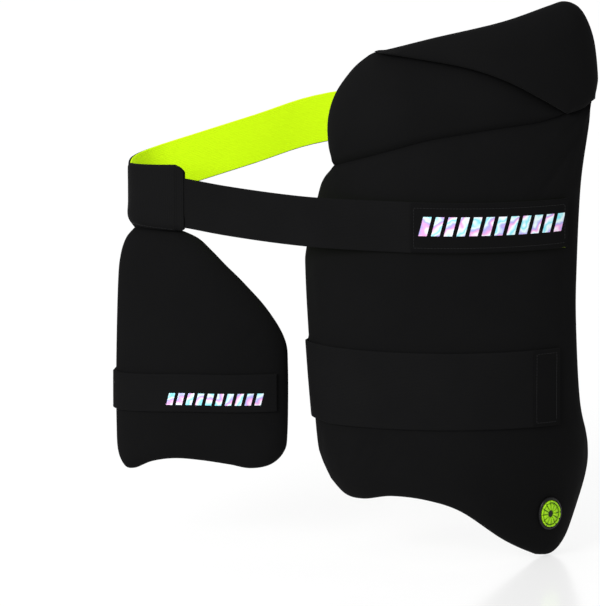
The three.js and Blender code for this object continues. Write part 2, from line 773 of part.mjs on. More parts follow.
const thighGuards = new THREE.Group();
thighGuards.position.set(waistToGuard, -waistDepth / 2, 0);
thighGuards.add(...outerGuardPanels(), ...badgePieces(), ...beltPieces(), ...outerStrapPieces());
thighGuards.add(hangerPiece((point) => point.applyMatrix4(innerGuard.matrix)));
thighGuards.add(innerGuard);

export default thighGuards;
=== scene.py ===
"""Dresses the cricket thigh guard set: padded covers, elastics, lime lining, badge and foil bars.

Lengths are millimetres while a shape is worked out, and metres once it is a mesh. x runs across from
the outer guard's centre line, y runs back from its foremost point, and z is the height above the
belt's front stretch. Frame.place moves a piece from there to the model's own frame.
"""

import json
import logging
import math
from dataclasses import dataclass, field
from enum import Enum

import bpy
import numpy as np
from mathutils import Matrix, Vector
from mathutils.geometry import delaunay_2d_cdt

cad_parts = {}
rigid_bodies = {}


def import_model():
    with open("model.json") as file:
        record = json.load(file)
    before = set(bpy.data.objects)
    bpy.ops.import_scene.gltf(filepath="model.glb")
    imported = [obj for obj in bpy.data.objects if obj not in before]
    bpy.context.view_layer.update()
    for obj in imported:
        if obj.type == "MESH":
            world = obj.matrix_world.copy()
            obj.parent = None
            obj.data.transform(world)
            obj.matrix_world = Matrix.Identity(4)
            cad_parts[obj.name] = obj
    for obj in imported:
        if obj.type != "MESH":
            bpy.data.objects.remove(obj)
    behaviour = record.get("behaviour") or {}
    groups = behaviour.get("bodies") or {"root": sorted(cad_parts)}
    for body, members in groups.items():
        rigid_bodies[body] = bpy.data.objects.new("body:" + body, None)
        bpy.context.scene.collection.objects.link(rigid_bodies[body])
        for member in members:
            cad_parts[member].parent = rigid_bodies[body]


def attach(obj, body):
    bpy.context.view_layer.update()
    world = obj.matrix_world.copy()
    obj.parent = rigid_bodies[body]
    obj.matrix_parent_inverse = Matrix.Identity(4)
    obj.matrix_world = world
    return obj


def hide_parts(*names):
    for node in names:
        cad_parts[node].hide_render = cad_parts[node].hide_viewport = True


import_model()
log = logging.getLogger("thigh_guards")

MM = 0.001
BODY = "root"
SHARP_DEGREES = 55
Array = np.ndarray


# Shapes

CURVE_STEPS = 40
RIM_EASING = 12
MEASURE_CHUNK = 2000

# Rim shares at which a crease is soft, and how soft it is there
CREASE_RIMS = (0.3, 0.5, 0.64, 0.76)
CREASE_SOFTNESS = (0, 1, 1, 0)

# Rim shares between which a panel's edge turns from a free, bulging rim to a sewn crease
FREE_RIMS = (0.15, 0.3)

# Share of the room up to an outline's other side that the inset rows may take, and the
# neighbours that share the least room
ROOM_SHARE = 0.42
ROOM_NEIGHBOURS = range(-4, 5)

# How finely a band is sampled: for its length, for a place on it, and for its sheet, which is
# sampled a margin past the last place wanted
LENGTH_SAMPLES = 400
PLACE_SAMPLES = 3000
SHEET_SAMPLES = 500
SHEET_MARGIN = 8


class Rim(Enum):
    """How high a panel's edge stands, as a share of the panel's thickness."""

    FREE = 0.1
    LOW_CREASE = 0.6
    HIGH_CREASE_UNDER = 0.5
    HIGH_CREASE_OVER = 0.8
    HANGER_SEAM = 0.35


def smoothstep(value: Array, low: float, high: float) -> Array:
    """Smooth rise from 0, where the value is low, to 1, where it is high."""
    share = np.clip((np.asarray(value, float) - low) / (high - low), 0, 1)
    return share * share * (3 - 2 * share)


def unit(vectors: Array) -> Array:
    """Vectors scaled to length 1; the last axis holds their coordinates."""
    return vectors / np.maximum(np.linalg.norm(vectors, axis=-1, keepdims=True), 1e-9)


def run_along(line: Array) -> Array:
    """Distance of each point of a line from its first, along the line."""
    return np.concatenate([[0], np.cumsum(np.linalg.norm(np.diff(line, axis=0), axis=1))])


def even_points(line: Array, step: float) -> Array:
    """Points at even steps along a line.

    Args:
        line: the line's points.
        step: the wanted distance between points.

    Returns:
        The even points, both ends included.
    """
    run = run_along(line)
    count = max(1, round(run[-1] / step))
    marks = np.linspace(0, run[-1], count + 1)
    return np.stack([np.interp(marks, run, column) for column in line.T], axis=1)


def curve(start: Array, end: Array, leave: Array, arrive: Array, share: Array) -> tuple[Array, Array]:
    """Cubic curve from one point to another.

    Args:
        start: the first point.
        end: the second point.
        leave: the tangent at the first.
        arrive: the tangent at the second.
        share: how far along, from 0 to 1.

    Returns:
        The curve's points and tangents.
    """
    cubic = 2 * start - 2 * end + leave + arrive
    square = 3 * end - 3 * start - 2 * leave - arrive
    points = ((cubic * share + square) * share + leave) * share + start
    return points, (3 * cubic * share + 2 * square) * share + leave


def smooth_line(corners: Array, step: float) -> Array:
    """Even points on the smooth curve through some corners.

    Args:
        corners: the points that the curve passes.
        step: the wanted distance between points.

    Returns:
        The curve's points, both ends included.
    """
    last = len(corners) - 1
    shares = np.linspace(0, 1, CURVE_STEPS, endpoint=False)[:, None]
    stretches = []
    for place in range(last):
        before, start = corners[max(place - 1, 0)], corners[place]
        end, after = corners[place + 1], corners[min(place + 2, last)]
        leave, arrive = (end - before) / 2, (after - start) / 2
        stretches.append(curve(start, end, leave, arrive, shares)[0])
    return even_points(np.concatenate([*stretches, corners[-1:]]), step)


def row_curves(rows: Array, places: Array) -> tuple[Array, Array]:
    """Curves that run lengthwise through the rows of a band.

    Args:
        rows: points by row and side.
        places: where along the band, counted in rows.

    Returns:
        The points and the tangents, by place and side.
    """
    ends = np.concatenate([2 * rows[:1] - rows[1:2], rows, 2 * rows[-1:] - rows[-2:-1]])
    index = np.clip(np.floor(places).astype(int), 0, len(rows) - 2)
    share = (places - index)[:, None, None]
    before, start, end, after = (ends[index + shift] for shift in range(4))

    def knot(first: Array, second: Array) -> Array:
        """Knot distance between two rows of points."""
        return np.maximum(np.linalg.norm(second - first, axis=-1, keepdims=True) ** 0.5, 1e-4)

    lead, span, trail = knot(before, start), knot(start, end), knot(end, after)
    leave = ((start - before) / lead - (end - before) / (lead + span) + (end - start) / span) * span
    arrive = ((end - start) / span - (after - start) / (span + trail) + (after - end) / trail) * span
    return curve(start, end, leave, arrive, share)


def ripple(first: Array, second: Array, length: float) -> Array:
    """Soft unevenness of a hand-sewn surface, the same on every run.

    Args:
        first: one coordinate on the surface.
        second: the other coordinate.
        length: the rough distance from crest to crest.

    Returns:
        Heights from about -1 to 1.
    """
    turn = 2 * math.pi / length
    waves = np.sin(turn * (0.92 * first + 0.39 * second) + 0.7)
    waves = waves + np.sin(turn * (-0.31 * first + 1.13 * second) + 2.1)
    waves = waves + np.sin(turn * (0.67 * first - 0.83 * second) + 4.4 + 0.8 * np.sin(turn * 0.3 * first))
    return waves / 3


@dataclass(frozen=True)
class Shell:
    """A guard's seam surface: an upright shell whose two sides curl back."""

    seam_depth: float
    curl_depth: float
    curl_half_width: float
    bow_radius: float
    bow_centre: float
    lean: float = 0.0
    hem_tuck: float = 0.0
    hem_start: float = 0.0
    hem_reach: float = 1.0
    curl_limit: float = 0.9
    curl_ease: float = 0.085

    def middle(self, z: Array) -> Array:
        """How far across the curl's middle line lies at a height."""
        return self.lean * np.maximum(0, z)

    def half_width(self, z: Array) -> Array:
        """The curl's half width at a height."""
        tuck = smoothstep(self.hem_start - z, 0, self.hem_reach)
        return self.curl_half_width * (1 - self.hem_tuck * tuck)

    def turn(self, x: Array, z: Array) -> Array:
        """Angle of the curl at a place, eased off before the curl would face sideways.

        Args:
            x: distance across.
            z: height.

        Returns:
            The angle in radians, 0 at the front.
        """
        share = (x - self.middle(z)) / self.half_width(z)
        over = np.maximum(np.abs(share) - self.curl_limit, 0)
        eased = self.curl_limit + self.curl_ease * (1 - np.exp(-over / self.curl_ease))
        return np.arcsin(np.sign(share) * np.where(over > 0, eased, np.abs(share)))

    def unroll(self, x: Array, z: Array) -> Array:
        """Distance across as it is measured along the curl."""
        return self.turn(x, z) * (self.curl_half_width + self.curl_depth) / 2

    def roll(self, along: Array, z: Array) -> Array:
        """Distance across of a place that is given along the curl.

        Args:
            along: distance along the curl.
            z: height.

        Returns:
            The distance across.
        """
        sine = np.sin(along * 2 / (self.curl_half_width + self.curl_depth))
        rest = 1 - np.maximum(np.abs(sine) - self.curl_limit, 0) / self.curl_ease
        over = -self.curl_ease * np.log(np.maximum(rest, 1e-3))
        share = np.sign(sine) * (np.minimum(np.abs(sine), self.curl_limit) + over)
        return self.middle(z) + share * self.half_width(z)

    def depth(self, x: Array, z: Array) -> Array:
        """How far back the seam surface lies."""
        curl = self.curl_depth * (1 - np.cos(self.turn(x, z)))
        return self.seam_depth + curl + (z - self.bow_centre) ** 2 / (2 * self.bow_radius)

    def normal(self, x: Array, z: Array) -> Array:
        """Outward direction of the seam surface.

        Args:
            x: distance across.
            z: height.

        Returns:
            Unit vectors that point to the front.
        """
        step = 0.5
        slope_x = (self.depth(x + step, z) - self.depth(x - step, z)) / (2 * step)
        slope_z = (self.depth(x, z + step) - self.depth(x, z - step)) / (2 * step)
        return unit(np.stack([slope_x, -np.ones_like(slope_x), slope_z], axis=-1))

    def point(self, x: Array, z: Array, lift: Array = 0.0) -> Array:
        """Point off the seam surface.

        Args:
            x: distance across.
            z: height.
            lift: distance towards the front, or towards the leg where it is negative.

        Returns:
            The points.
        """
        x, z = np.broadcast_arrays(np.asarray(x, float), np.asarray(z, float))
        base = np.stack([x, self.depth(x, z), z], axis=-1)
        return base + self.normal(x, z) * np.asarray(lift, float)[..., None]


@dataclass
class Outline:
    """A closed outline in the upright plane, with the rim share of each of its points."""

    points: Array
    rims: Array

    @classmethod
    def sewn(cls, stretches: list[tuple[Array, Rim]], step: float) -> "Outline":
        """Outline made of stretches that follow each other.

        Args:
            stretches: corners and rim of each stretch.
            step: distance between the outline's points.

        Returns:
            The outline.
        """
        lines = [smooth_line(corners, step)[:-1] for corners, _ in stretches]
        rims = np.concatenate([np.full(len(line), rim.value) for line, (_, rim) in zip(lines, stretches)])
        return cls(np.concatenate(lines), eased(rims, RIM_EASING))

    def inset(self, distance: Array) -> "Outline":
        """Outline moved inwards.

        Args:
            distance: one distance, or one for each point.

        Returns:
            The smaller outline.
        """
        inward = inward_directions(self.points)
        moved = self.points + inward * np.broadcast_to(distance, len(self.points))[:, None]
        return Outline(moved, self.rims)

    def edge_across(self, z: float, side: int) -> float:
        """Where the left edge (side -1) or the right edge (side 1) lies at a height.

        Args:
            z: the height.
            side: which edge.

        Returns:
            The distance across.
        """
        start, end = self.points, np.roll(self.points, -1, axis=0)
        crosses = (start[:, 1] - z) * (end[:, 1] - z) <= 0
        crosses &= start[:, 1] != end[:, 1]
        start, end = start[crosses], end[crosses]
        share = (z - start[:, 1]) / (end[:, 1] - start[:, 1])
        return side * float(np.max(side * (start[:, 0] + (end[:, 0] - start[:, 0]) * share)))


def eased(values: Array, passes: int) -> Array:
    """Values of a closed loop with their steps eased.

    Args:
        values: the values.
        passes: how many times each is mixed with its neighbours.

    Returns:
        The eased values.
    """
    for _ in range(passes):
        values = (np.roll(values, 1) + 2 * values + np.roll(values, -1)) / 4
    return values


def inward_directions(loop: Array) -> Array:
    """Inward directions of a closed loop in a plane.

    Args:
        loop: the loop's points.

    Returns:
        A unit vector for each point.
    """
    after, before = np.roll(loop, -1, axis=0), np.roll(loop, 1, axis=0)
    area = np.sum(loop[:, 0] * after[:, 1] - after[:, 0] * loop[:, 1])
    along = unit(after - before)
    return np.sign(area) * np.stack([-along[:, 1], along[:, 0]], axis=1)


@dataclass(frozen=True)
class Face:
    """One side of a padding: its thickness, and how it is rounded down to its rim.

    The rolled edge drops by its lip, and by deepest of the rim's height at most. At a soft crease
    the lip reaches crease_reach further in and drops less, by the share crease_ease.
    """

    thickness: float
    round: float
    lip: float
    crease_reach: float = 5.0
    deepest: float = 0.5
    crease_ease: float = 0.3

    def height(self, distance: Array, rim: Array) -> Array:
        """Thickness at a distance from the outline, where the rim share is rim."""
        inside = np.minimum(distance / self.round, 1)
        return self.thickness * (rim + (1 - rim) * np.sqrt(1 - (1 - inside) ** 2))

    def rolled(self, distance: Array, rim: Array) -> Array:
        """Thickness with the very edge rolled over, as a stuffed cover's is.

        Args:
            distance: distance from the outline.
            rim: rim share there.

        Returns:
            The thickness.
        """
        soft = np.interp(rim, CREASE_RIMS, CREASE_SOFTNESS)
        lip = self.lip + soft * self.crease_reach
        drop = np.minimum(lip, self.deepest * self.thickness * rim) * (1 - self.crease_ease * soft)
        outside = 1 - np.minimum(distance / lip, 1)
        roll = (1 - soft) * (1 - np.sqrt(1 - outside**2)) + soft * outside**2
        outside = 1 - np.minimum(distance / self.round, 1)
        flatter = soft * self.thickness * (1 - rim) * (np.sqrt(1 - outside**2) - (1 - outside**2))
        return self.height(distance, rim) - drop * roll - flatter


@dataclass
class Padding:
    """Foam on a shell inside an outline, thick in the middle and rounded down to its rim."""

    shell: Shell
    outline: Outline
    front: Face
    back: Face

    def measure(self, x: Array, z: Array) -> tuple[Array, Array]:
        """Distance from the outline on the shell, and the rim share that holds there.

        Args:
            x: distances across.
            z: heights.

        Returns:
            The distances and the rim shares.
        """
        places = self.shell.point(np.ravel(x), np.ravel(z))
        starts = self.shell.point(self.outline.points[:, 0], self.outline.points[:, 1])
        edges = np.roll(starts, -1, axis=0) - starts
        squares = np.maximum(np.sum(edges**2, axis=1), 1e-9)
        distances, rims = [], []
        for chunk in np.array_split(places, max(1, len(places) // MEASURE_CHUNK)):
            apart = chunk[:, None] - starts[None]
            share = np.clip(np.sum(apart * edges, axis=2) / squares, 0, 1)
            nearest = apart - share[..., None] * edges
            distances.append(np.sqrt(np.min(np.sum(nearest**2, axis=2), axis=1)))
            weights = 1 / (np.sum(apart**2, axis=2) ** 2 + 1e-6)
            rims.append(np.sum(weights * self.outline.rims, axis=1) / np.sum(weights, axis=1))
        shape = np.shape(x)
        return np.concatenate(distances).reshape(shape), np.concatenate(rims).reshape(shape)

    def front_at(self, x: Array, z: Array, lift: Array = 0.0) -> Array:
        """Point on the front, or in front of it by lift."""
        x, z = np.broadcast_arrays(np.asarray(x, float), np.asarray(z, float))
        return self.shell.point(x, z, self.front.height(*self.measure(x, z)) + lift)

    def back_at(self, x: Array, z: Array, clear: Array = 0.0) -> Array:
        """Point on the inner face, or behind it by clear."""
        x, z = np.broadcast_arrays(np.asarray(x, float), np.asarray(z, float))
        return self.shell.point(x, z, -self.back.height(*self.measure(x, z)) - clear)


# Meshes


@dataclass
class Skin:
    """A closed surface before it becomes a mesh: points, faces and the cloth's own coordinates."""

    points: Array
    faces: list[tuple[int, ...]]
    cloth: Array
    clear: Array | None = None

    @classmethod
    def joined(cls, skins: list["Skin"]) -> "Skin":
        """Several closed surfaces as one.

        Args:
            skins: the surfaces.

        Returns:
            One surface that holds all of them.
        """
        faces: list[tuple[int, ...]] = []
        first = 0
        for skin in skins:
            faces += [tuple(corner + first for corner in face) for face in skin.faces]
            first += len(skin.points)
        points = np.concatenate([skin.points for skin in skins])
        return cls(points, faces, np.concatenate([skin.cloth for skin in skins]))


def grid_faces(rows: int, columns: int, first: int, turned: bool) -> list[tuple[int, ...]]:
    """Faces of a sheet of points.

    Args:
        rows: how many rows it has.
        columns: how many columns it has.
        first: index of its first point.
        turned: whether the faces look the other way.

    Returns:
        The faces.
    """
    row, column = np.meshgrid(np.arange(rows - 1), np.arange(columns - 1), indexing="ij")
    start = (first + row * columns + column).ravel()
    corners = np.stack([start, start + 1, start + columns + 1, start + columns], axis=1)
    return [tuple(face) for face in (corners[:, ::-1] if turned else corners).tolist()]


def ring_faces(first: int, second: int, count: int) -> list[tuple[int, ...]]:
    """Faces between two rings of points, each given by the index of its first point."""
    pairs = [(place, (place + 1) % count) for place in range(count)]
    return [(first + place, first + after, second + after, second + place) for place, after in pairs]


def tube_faces(first: int, rings: int, count: int) -> list[tuple[int, ...]]:
    """Faces of a tube of rings, with a cap at either end.

    Args:
        first: index of its first point.
        rings: how many rings it has.
        count: how many points each ring has.

    Returns:
        The faces.
    """
    last = first + (rings - 1) * count
    faces = []
    for start in range(first, last, count):
        faces += ring_faces(start, start + count, count)
    return [*faces, tuple(reversed(range(first, first + count))), tuple(range(last, last + count))]


def strip_skin(middle: Array, outward: Array, half: Array, cloth: Array) -> Skin:
    """Closed strip of cloth round a middle sheet.

    Args:
        middle: points of the middle sheet, by row and side.
        outward: its outward directions.
        half: half the thickness at each point.
        cloth: distance along and across at each point.

    Returns:
        The strip.
    """
    rows, sides = half.shape
    outer = (middle + outward * half[..., None]).reshape(-1, 3)
    inner = (middle - outward * half[..., None]).reshape(-1, 3)
    count = rows * sides
    faces = grid_faces(rows, sides, 0, False) + grid_faces(rows, sides, count, True)
    for row in range(rows - 1):
        low, high = row * sides, row * sides + sides - 1
        faces.append((low, low + sides, low + sides + count, low + count))
        faces.append((high + sides, high, high + count, high + sides + count))
    for side in range(sides - 1):
        start, end = side, (rows - 1) * sides + side
        faces.append((start + 1, start, start + count, start + 1 + count))
        faces.append((end, end + 1, end + 1 + count, end + count))
    flat = np.concatenate([cloth.reshape(-1, 2)] * 2)
    return Skin(np.concatenate([outer, inner]), faces, flat)


def inside_loop(places: Array, loop: Array) -> Array:
    """Which places lie inside a closed loop.

    Args:
        places: points of a plane.
        loop: the loop's points.

    Returns:
        True for each place inside.
    """
    start, end = loop, np.roll(loop, -1, axis=0)
    inside = np.zeros(len(places), bool)
    for (x0, z0), (x1, z1) in zip(start, end):
        if z0 != z1:
            spans = (z0 > places[:, 1]) != (z1 > places[:, 1])
            reach = x0 + (places[:, 1] - z0) * (x1 - x0) / (z1 - z0)
            inside ^= spans & (places[:, 0] < reach)
    return inside


def room_inwards(loop: Array, inward: Array) -> Array:
    """How far inwards each point of a loop may move before it nears the other side.

    Args:
        loop: the loop's points.
        inward: their inward directions.

    Returns:
        A distance for each point.
    """
    start, edge = loop, np.roll(loop, -1, axis=0) - loop
    apart = start[None] - loop[:, None]
    cross = inward[:, None, 0] * edge[None, :, 1] - inward[:, None, 1] * edge[None, :, 0]
    cross = np.where(np.abs(cross) < 1e-9, 1e-9, cross)
    reach = (apart[..., 0] * edge[None, :, 1] - apart[..., 1] * edge[None, :, 0]) / cross
    along = (apart[..., 0] * inward[:, None, 1] - apart[..., 1] * inward[:, None, 0]) / cross
    hits = (along >= 0) & (along <= 1) & (reach > 1e-3)
    room = np.min(np.where(hits, reach, 1e3), axis=1) * ROOM_SHARE
    room = np.min([np.roll(room, shift) for shift in ROOM_NEIGHBOURS], axis=0)
    return np.mean([np.roll(room, shift) for shift in ROOM_NEIGHBOURS], axis=0)


@dataclass
class PanelCut:
    """How a padded panel is meshed: rows along its rim, and a field of even points inside them.

    Where the innermost row's edges fall under shortest_edge of the outline's, the insets of the
    neighbours that tight_neighbours gives shrink to squeeze of themselves, most_squeezes times at
    most. broad and fine give the height and the length of the cover's unevenness, which sets in
    over the stretch calm_rim from the rim. The inner face has back_share of it.
    """

    insets: tuple[float, ...] = (0, 0.15, 0.45, 0.95, 1.7, 2.8, 4.4, 6.6, 9.6, 13.5)
    field_step: float = 4.0
    field_clearance: float = 0.6
    wall_rows: int = 5
    bulge: float = 1.0
    shortest_edge: float = 0.25
    squeeze: float = 0.85
    tight_neighbours: tuple[int, int] = (-3, 5)
    most_squeezes: int = 60
    broad: tuple[float, float] = (0.22, 70.0)
    fine: tuple[float, float] = (0.1, 26.0)
    calm_rim: tuple[float, float] = (2.0, 30.0)
    back_share: float = 0.5

    def flat_mesh(self, loop: Array) -> tuple[Array, list[tuple[int, ...]], int]:
        """Flat mesh inside a loop.

        Args:
            loop: the loop's points, unrolled.

        Returns:
            Its points with the loop first, its faces, and the number of points on the loop.
        """
        count = len(loop)
        inward = inward_directions(loop)
        scale = self.loosened(loop, inward, np.minimum(1, room_inwards(loop, inward) / self.insets[-1]))
        rows = [loop + inward * (inset * scale)[:, None] for inset in self.insets]
        field = self.field_points(rows[-1])
        inner = np.concatenate([rows[-1], field])
        links = [(place, (place + 1) % count) for place in range(count)]
        points, _, faces, origins, _, _ = delaunay_2d_cdt(
            [Vector(place) for place in inner.tolist()], links, [list(range(count))], 1, 1e-5
        )
        first = (len(rows) - 1) * count
        spots = [first + origin[0] if origin else first for origin in origins]
        made = [tuple(spots[corner] for corner in face) for face in faces]
        made = [face for face in made if len(set(face)) == len(face)]
        for start in range(0, first, count):
            made += ring_faces(start, start + count, count)
        return np.concatenate([*rows[:-1], inner]), made, count

    def loosened(self, loop: Array, inward: Array, scale: Array) -> Array:
        """Shares of the insets that keep the innermost row from crossing itself at corners.

        Args:
            loop: the loop's points.
            inward: their inward directions.
            scale: shares that clear the loop's other side.

        Returns:
            The shares.
        """
        edge = np.roll(loop, -1, axis=0) - loop
        for _ in range(self.most_squeezes):
            row = loop + inward * (self.insets[-1] * scale)[:, None]
            step = np.roll(row, -1, axis=0) - row
            tight = np.sum(step * edge, axis=1) < self.shortest_edge * np.sum(edge**2, axis=1)
            if not tight.any():
                break
            near = np.any([np.roll(tight, shift) for shift in range(*self.tight_neighbours)], axis=0)
            scale = eased(np.where(near, scale * self.squeeze, scale), 2)
        return scale

    def field_points(self, loop: Array) -> Array:
        """Even field of points inside a loop, clear of it.

        Args:
            loop: the loop's points.

        Returns:
            The field's points.
        """
        low, high = loop.min(axis=0), loop.max(axis=0)
        lines = np.arange(low[1], high[1], self.field_step * math.sqrt(3) / 2)
        field = []
        for number, height in enumerate(lines):
            start = low[0] + (number % 2) * self.field_step / 2
            across = np.arange(start, high[0], self.field_step)
            field.append(np.stack([across, np.full_like(across, height)], axis=1))
        places = np.concatenate(field)
        places = places[inside_loop(places, loop)]
        apart = np.min(np.linalg.norm(places[:, None] - loop[None], axis=2), axis=1)
        return places[apart > self.field_clearance * self.field_step]

    def panel(self, padding: Padding) -> Skin:
        """Closed skin of a padded panel.

        Args:
            padding: the panel's padding.

        Returns:
            The skin.
        """
        shell, outline = padding.shell, padding.outline.points
        loop = np.stack([shell.unroll(outline[:, 0], outline[:, 1]), outline[:, 1]], axis=1)
        places, faces, count = self.flat_mesh(loop)
        x, z = shell.roll(places[:, 0], places[:, 1]), places[:, 1]
        distance, rim = padding.measure(x, z)
        waves = [height * ripple(x, z, length) for height, length in (self.broad, self.fine)]
        uneven = smoothstep(distance, *self.calm_rim) * (waves[0] + waves[1])
        front = shell.point(x, z, padding.front.rolled(distance, rim) + uneven)
        back = shell.point(x, z, -padding.back.rolled(distance, rim) - self.back_share * uneven)
        skin = self.closed(front, back, faces, count, places, padding.outline.rims)
        walls = np.zeros(len(skin.points) - 2 * len(distance))
        skin.clear = np.concatenate([distance, distance, walls])
        return skin

    def closed(
        self, front: Array, back: Array, faces: list, count: int, places: Array, rims: Array
    ) -> Skin:
        """Joins a panel's front and inner face along its rim.

        Args:
            front: the front's points.
            back: the inner face's points.
            faces: the faces of either.
            count: number of points on the rim.
            places: the points' unrolled places.
            rims: rim share of each rim point.

        Returns:
            The closed skin.
        """
        third_row = slice(2 * count, 3 * count)
        outward = unit((front[:count] - front[third_row]) + (back[:count] - back[third_row]))
        tall = np.linalg.norm(front[:count] - back[:count], axis=1)
        free = 1 - smoothstep(rims, *FREE_RIMS)
        walls = []
        for row in range(1, self.wall_rows):
            share = row / self.wall_rows
            swell = np.minimum(self.bulge, tall / 2) * free * math.sin(math.pi * share)
            walls.append(front[:count] * (1 - share) + back[:count] * share + outward * swell[:, None])
        wall_first = 2 * len(front)
        points = np.concatenate([front, back, *walls])
        made = list(faces) + [tuple(corner + len(front) for corner in reversed(face)) for face in faces]
        starts = [0, *[wall_first + row * count for row in range(self.wall_rows - 1)], len(front)]
        for upper, lower in zip(starts, starts[1:]):
            for place in range(count):
                after = (place + 1) % count
                made.append((upper + after, upper + place, lower + place, lower + after))
        cloth = np.concatenate([places, places, *[places[:count]] * (self.wall_rows - 1)])
        return Skin(points, made, cloth)


@dataclass
class Band:
    """A flat band of cloth whose lines across stand upright.

    rows holds the points of its inner reference sheet, by row and side; sides runs from -1, the
    lower edge, to 1, the upper one.
    """

    rows: Array
    sides: Array
    width: float

    def sheet(self, places: Array) -> tuple[Array, Array]:
        """Points and outward directions of the reference sheet.

        Args:
            places: where along the band, counted in rows.

        Returns:
            Points and directions, by place and side.
        """
        points, tangents = row_curves(self.rows, places)
        flat = np.stack([-tangents[..., 1], tangents[..., 0], np.zeros(tangents.shape[:2])], axis=-1)
        return points, unit(flat)

    def run(self, places: Array) -> Array:
        """Distance of each place from the first, along the band's middle line."""
        return run_along(self.sheet(places)[0][:, len(self.sides) // 2])

    def length(self, start: float, end: float) -> float:
        """Length of a stretch of the band, between two places counted in rows."""
        return float(self.run(np.linspace(start, end, LENGTH_SAMPLES))[-1])

    def place_of(self, start: float, distance: float) -> float:
        """Place, counted in rows, that lies some distance along the band from a start."""
        fine = np.linspace(start, len(self.rows) - 1, PLACE_SAMPLES)
        return float(np.interp(distance, self.run(fine), fine))


SIDES = np.array([-1, -0.988, -0.965, -0.94, -0.9, -0.82, -0.66, -0.44, -0.22, 0])
SIDES = np.concatenate([SIDES, -SIDES[-2::-1]])

# Distances of a layer's closest stations from either of its ends
END_STATIONS = (0.06, 0.22, 0.5, 0.85, 1.3, 2.2)


@dataclass(frozen=True)
class Layer:
    """One layer of a band: its distances out from the reference sheet, and its hem ridges."""

    inner: float
    outer: float
    start: float
    end: float
    per_row: int = 5
    hem: float = 0.0
    hem_at: float = 0.92
    hem_width: float = 0.022
    thinnest: float = 0.12
    wave: float = 0.0
    wave_length: float = 90.0

    def places(self, band: Band) -> Array:
        """Places of the layer's stations, close together at its two ends.

        Args:
            band: the band that it belongs to.

        Returns:
            The places, counted in rows.
        """
        count = max(2, round((self.end - self.start) * self.per_row))
        middle = np.linspace(self.start, self.end, count + 1)
        length = band.length(self.start, self.end)
        first = [band.place_of(self.start, distance) for distance in END_STATIONS]
        last = [band.place_of(self.start, length - distance) for distance in END_STATIONS]
        return np.unique(np.round(np.concatenate([middle, first, last]), 5))

    def skin(self, band: Band) -> Skin:
        """Closed skin of the layer.

        Args:
            band: the band that it belongs to.

        Returns:
            The skin.
        """
        places = self.places(band)
        points, outward = band.sheet(places)
        run = band.run(places)
        across = band.sides * band.width / 2
        half = (self.outer - self.inner) / 2
        edge = np.minimum((band.width / 2 - np.abs(across)) / half, 1)
        end = np.minimum(np.minimum(run, run[-1] - run) / half, 1)
        soft = np.sqrt(1 - (1 - edge) ** 2)[None] * np.sqrt(1 - (1 - end) ** 2)[:, None]
        thick = half * np.maximum(soft, self.thinnest)
        ridge = self.hem * np.exp(-(((np.abs(band.sides) - self.hem_at) / self.hem_width) ** 2))[None]
        ridge = ridge * np.ones_like(thick)
        along = np.broadcast_to(run[:, None], thick.shape)
        wide = np.broadcast_to(across[None], thick.shape)
        drift = self.wave * ripple(along, 0.6 * wide, self.wave_length)
        middle = points + outward * ((self.inner + self.outer) / 2 + ridge / 2 + drift)[..., None]
        return strip_skin(middle, outward, thick + ridge / 2, np.stack([along, wide], axis=-1))


# Finishes


class Value:
    """One socket of a node tree, with the operators that shader maths needs."""

    def __init__(self, tree: "Tree", socket: bpy.types.NodeSocket) -> None:
        """Wraps a socket of a tree."""
        self.tree = tree
        self.socket = socket

    def __add__(self, other: "Value | float") -> "Value":
        """Sum of two values."""
        return self.tree.maths("ADD", self, other)

    def __sub__(self, other: "Value | float") -> "Value":
        """Difference of two values."""
        return self.tree.maths("SUBTRACT", self, other)

    def __mul__(self, other: "Value | float") -> "Value":
        """Product of two values."""
        return self.tree.maths("MULTIPLY", self, other)

    def __pow__(self, other: "Value | float") -> "Value":
        """One value to the power of another."""
        return self.tree.maths("POWER", self, other)

    def __radd__(self, other: float) -> "Value":
        """Sum, with the number first."""
        return self.tree.maths("ADD", other, self)

    def __rsub__(self, other: float) -> "Value":
        """Difference, with the number first."""
        return self.tree.maths("SUBTRACT", other, self)

    def __rmul__(self, other: float) -> "Value":
        """Product, with the number first."""
        return self.tree.maths("MULTIPLY", other, self)


Colour = tuple[float, float, float]
Input = Value | float | Colour | tuple[float, float, float, float]


